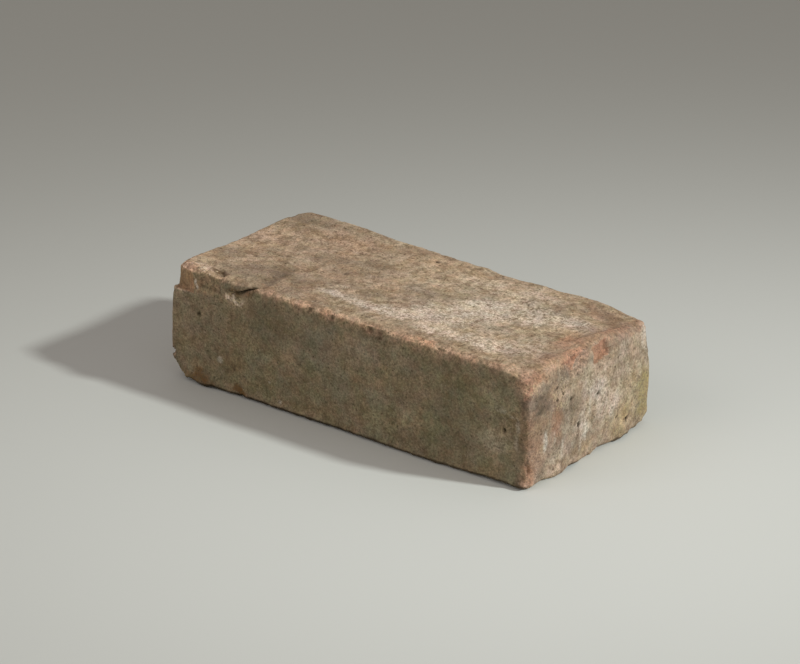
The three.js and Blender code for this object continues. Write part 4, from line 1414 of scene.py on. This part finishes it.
    def crumbs(self, skin):
        """Flecks and crumbs on gritty clay, loose specks, dark pores, and painted shade in creases and
        hollows.
        """
        colours, gritty = self.colours, self.mask("gritty")
        loose = self.math("MULTIPLY_ADD", gritty, 0.45, self.by_side(0.26, 0.12))
        loose_dirt = self.math("MULTIPLY_ADD", loose, 0.6, 0.2)
        flecks = self.spread(self.noise(1.3, 4.0, 0.75, stretch=(0.7, 1, 1), shift=9.1), 0.52, 0.62)
        crumbs = self.spread(self.noise(1.6, 4.0, 0.75, shift=9.7), 0.53, 0.66)
        for amount, colour in (
            (self.times(flecks, self.times(gritty, 0.85)), colours.cream),
            (self.times(crumbs, self.times(gritty, 0.65)), colours.dirt_and_shade),
            (self.times(self.specks(2.3, 0.35, 0.21, 6.1), loose), colours.lime),
            (self.times(self.specks(2.0, 0.3, 0.22, 6.7), loose_dirt), colours.dirt_and_shade),
            (self.spread(self.pore, 0.05, 0.24, 0.45, 0.0), colours.dirt_and_shade),
            # Painted shade in creases.
            (self.times(self.mask("crease_shade"), self.spread(self.gritty, 0.4, 0.6, 0.2, 0.5)), colours.dirt_and_shade),
            # Painted shade in the slit, under the lip, in the gap at the foot and in the pits.
            (self.times(self.mask("painted_shade"), 0.93), colours.dirt_and_shade),
        ):
            skin = self.mix(amount, skin, colour)
        return skin

    def grain_bump(self, depth):
        """Grain finer than the mesh: speckle, half as much fine noise, sunken pores, raised grains."""
        fine = self.noise(0.5, 2.0, 0.6, shift=1.7)
        grain, _ = self.grains(1.5)
        height = self.math("ADD", self.speckle, self.times(fine, 0.5))
        height = self.math("ADD", height, self.spread(self.pore, 0.0, 0.3, -0.8, 0.0))
        height = self.math("ADD", height, self.spread(grain, 0.0, 0.5, 0.25, 0.0))
        bump = self.tree.nodes.new("ShaderNodeBump")
        bump.inputs["Strength"].default_value = 1.0
        bump.inputs["Distance"].default_value = depth
        self.link(height, bump.inputs["Height"])
        return bump.outputs[0]


def fired_clay(colours, relief):
    """The skin's mottles, the bared clay, the breaks and what has settled on them, each laid over the last,
    with painted light and shade at some spots, arrises and hollows, and grain in the relief finer than the
    mesh."""
    f = Clay("fired_clay", colours)
    skin = f.casts(f.films(f.skin()))
    skin = f.film(skin, colours.chalk, f.mask("chalk"), f.run, 0.9, 0.25)
    skin = f.crumbs(f.shades(skin))
    f.link(f.grain_bump(relief.grain_depth), f.shader.inputs["Normal"])
    f.link(skin, f.shader.inputs["Base Color"])
    f.link(f.spread(f.speckle, 0.3, 0.7, 0.98, 0.86), f.shader.inputs["Roughness"])
    f.shader.inputs["Specular IOR Level"].default_value = 0.25
    return f.material


# ---- the stage ----

FLOOR_RADIUS = 6.0
# The floor's painted pool of light: its middle and its shape.
LIT_RIGHT, LIT_AWAY = 0.167, -0.137  # middle of the lit floor, as the camera sees it, in metres
LIT_NARROWING = 0.75  # depth of the lit floor over its width

KEY_WAY = (0.7805, 0.2755, 0.5611)  # towards the main lamp
KEY_COLOUR = (0.96, 1.0, 0.979)
FILL_PLACE = (-0.6, -1.4, 1.1)
FILL_COLOUR = (1.0, 0.942, 0.922)
ROOM_COLOUR = (1.0, 0.928, 0.893, 1.0)

VIEW_MIDDLE = (0, 0, 0.0285)
VIEW_RIGHT, VIEW_UP = -0.00404, 0.00526  # how far the camera is shifted from that middle


def floor_with_painted_light(settings):
    """The floor's paint, with a painted pool of light that fades with the square of the distance from where
    the light falls: exp(-(distance / reach)^2) mixes the two colours."""
    f = Finish("floor_with_painted_light")
    f.shader.inputs["Roughness"].default_value = 0.9
    f.shader.inputs["Specular IOR Level"].default_value = 0.1
    node = f.tree.nodes.new("ShaderNodeMapping")
    node.vector_type = "TEXTURE"
    az = settings.azimuth
    right, away = np.array([math.cos(az), math.sin(az)]), np.array([-math.sin(az), math.cos(az)])
    middle = LIT_RIGHT * right + LIT_AWAY * away
    node.inputs["Location"].default_value = (*middle, 0)
    node.inputs["Rotation"].default_value = (0, 0, az)
    node.inputs["Scale"].default_value = (settings.floor_reach / LIT_NARROWING, settings.floor_reach, 1)
    f.link(f.place, node.inputs["Vector"])
    length = f.tree.nodes.new("ShaderNodeVectorMath")
    length.operation = "LENGTH"
    f.link(node.outputs[0], length.inputs[0])
    distance = length.outputs["Value"]
    # Painted light: the pool's share at each place.
    lit = f.math("EXPONENT", f.times(f.times(distance, distance), -1.0))
    f.link(f.mix(lit, settings.floor_far, settings.floor), f.shader.inputs["Base Color"])
    return f.material


# ---- operators ----


class BRICK_OT_body(bpy.types.Operator):
    """Builds the brick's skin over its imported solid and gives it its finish."""

    bl_idname = "brick.body"
    bl_label = "Brick"

    def execute(self, context):
        block = Block(context.scene.brick_sizes)
        relief = context.scene.brick_relief
        p, quads, masks = brick_surface(block, relief)
        low, high = (np.array(corner) / MM for corner in CAD_BOX)
        self.report({"INFO"}, f"brick {p.min(0)} to {p.max(0)} mm in {low} to {high}, {len(quads)} quads")
        p = within(p, low, high)
        piece = quad_piece("brick_body", p, quads, masks)
        piece.data.materials.append(fired_clay(context.scene.brick_colours, relief))
        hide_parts("brick")
        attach(piece, "root")
        return {"FINISHED"}


class BRICK_OT_studio(bpy.types.Operator):
    """Lays the floor, sets the lamps and places the camera."""

    bl_idname = "brick.studio"
    bl_label = "Studio"

    def execute(self, context):
        scene = context.scene
        settings = scene.brick_studio
        line = np.linspace(-FLOOR_RADIUS, FLOOR_RADIUS, 25)
        u, v = np.meshgrid(line, line, indexing="ij")
        grid = np.arange(u.size).reshape(u.shape)
        quads = np.stack([grid[:-1, :-1], grid[1:, :-1], grid[1:, 1:], grid[:-1, 1:]], -1).reshape(-1, 4)
        floor = quad_piece("floor", np.stack([u.ravel(), v.ravel(), np.zeros(u.size)], 1) / MM, quads, {})
        floor.data.materials.append(floor_with_painted_light(settings))

        world = bpy.data.worlds.new("room")
        world.use_nodes = True
        background = world.node_tree.nodes["Background"]
        background.inputs["Color"].default_value = ROOM_COLOUR
        background.inputs["Strength"].default_value = settings.room
        scene.world = world

        key = bpy.data.lights.new("key", "SUN")
        key.energy = settings.key
        key.angle = settings.key_width
        key.color = KEY_COLOUR
        self.lamp(scene, key, Vector(KEY_WAY) * 2)

        fill = bpy.data.lights.new("fill", "AREA")
        fill.energy = settings.fill
        fill.size = 1.2
        fill.color = FILL_COLOUR
        self.lamp(scene, fill, Vector(FILL_PLACE))

        az, el = settings.azimuth, settings.elevation
        back = Vector((math.sin(az) * math.cos(el), -math.cos(az) * math.cos(el), math.sin(el)))
        right = Vector((0, 0, 1)).cross(back).normalized()
        up = back.cross(right)
        middle = Vector(VIEW_MIDDLE) + VIEW_RIGHT * right + VIEW_UP * up
        data = bpy.data.cameras.new("camera")
        data.lens = settings.lens
        data.sensor_width = 36.0
        data.sensor_fit = "HORIZONTAL"
        data.clip_end = 50.0
        camera = bpy.data.objects.new("camera", data)
        axes = Matrix((right, up, back)).transposed().to_4x4()
        camera.matrix_world = Matrix.Translation(middle + back * settings.distance) @ axes
        scene.collection.objects.link(camera)
        scene.camera = camera
        scene.view_settings.view_transform = "Standard"
        return {"FINISHED"}

    def lamp(self, scene, light, place):
        """A lamp at a place, shining towards the middle of the floor."""
        lamp = bpy.data.objects.new(light.name, light)
        lamp.location = place
        lamp.rotation_euler = place.to_track_quat("Z", "Y").to_euler()
        scene.collection.objects.link(lamp)


class BRICK_PT_parts(bpy.types.Panel):
    """Lists the pieces and what can be changed on them."""

    bl_idname = "BRICK_PT_parts"
    bl_label = "Brick"
    bl_space_type = "VIEW_3D"
    bl_region_type = "UI"
    bl_category = "Brick"

    def draw(self, context):
        for operator in OPERATORS:
            self.layout.operator(operator.bl_idname)
        for name in GROUPS:
            group = getattr(context.scene, name)
            box = self.layout.box()
            for prop in group.__annotations__:
                box.prop(group, prop)


OPERATORS = (BRICK_OT_body, BRICK_OT_studio)
GROUPS = {
    "brick_sizes": BrickSizes,
    "brick_relief": BrickRelief,
    "brick_colours": BrickColours,
    "brick_studio": StudioSettings,
}
CLASSES = (*GROUPS.values(), *OPERATORS, BRICK_PT_parts)


def register():
    for cls in CLASSES:
        bpy.utils.register_class(cls)
    for name, group in GROUPS.items():
        setattr(bpy.types.Scene, name, bpy.props.PointerProperty(type=group))


def unregister():
    for name in GROUPS:
        delattr(bpy.types.Scene, name)
    for cls in reversed(CLASSES):
        bpy.utils.unregister_class(cls)


def main():
    """Registers the add-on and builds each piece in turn."""
    register()
    bpy.ops.brick.body()
    bpy.ops.brick.studio()


if __name__ == "__main__":
    main()
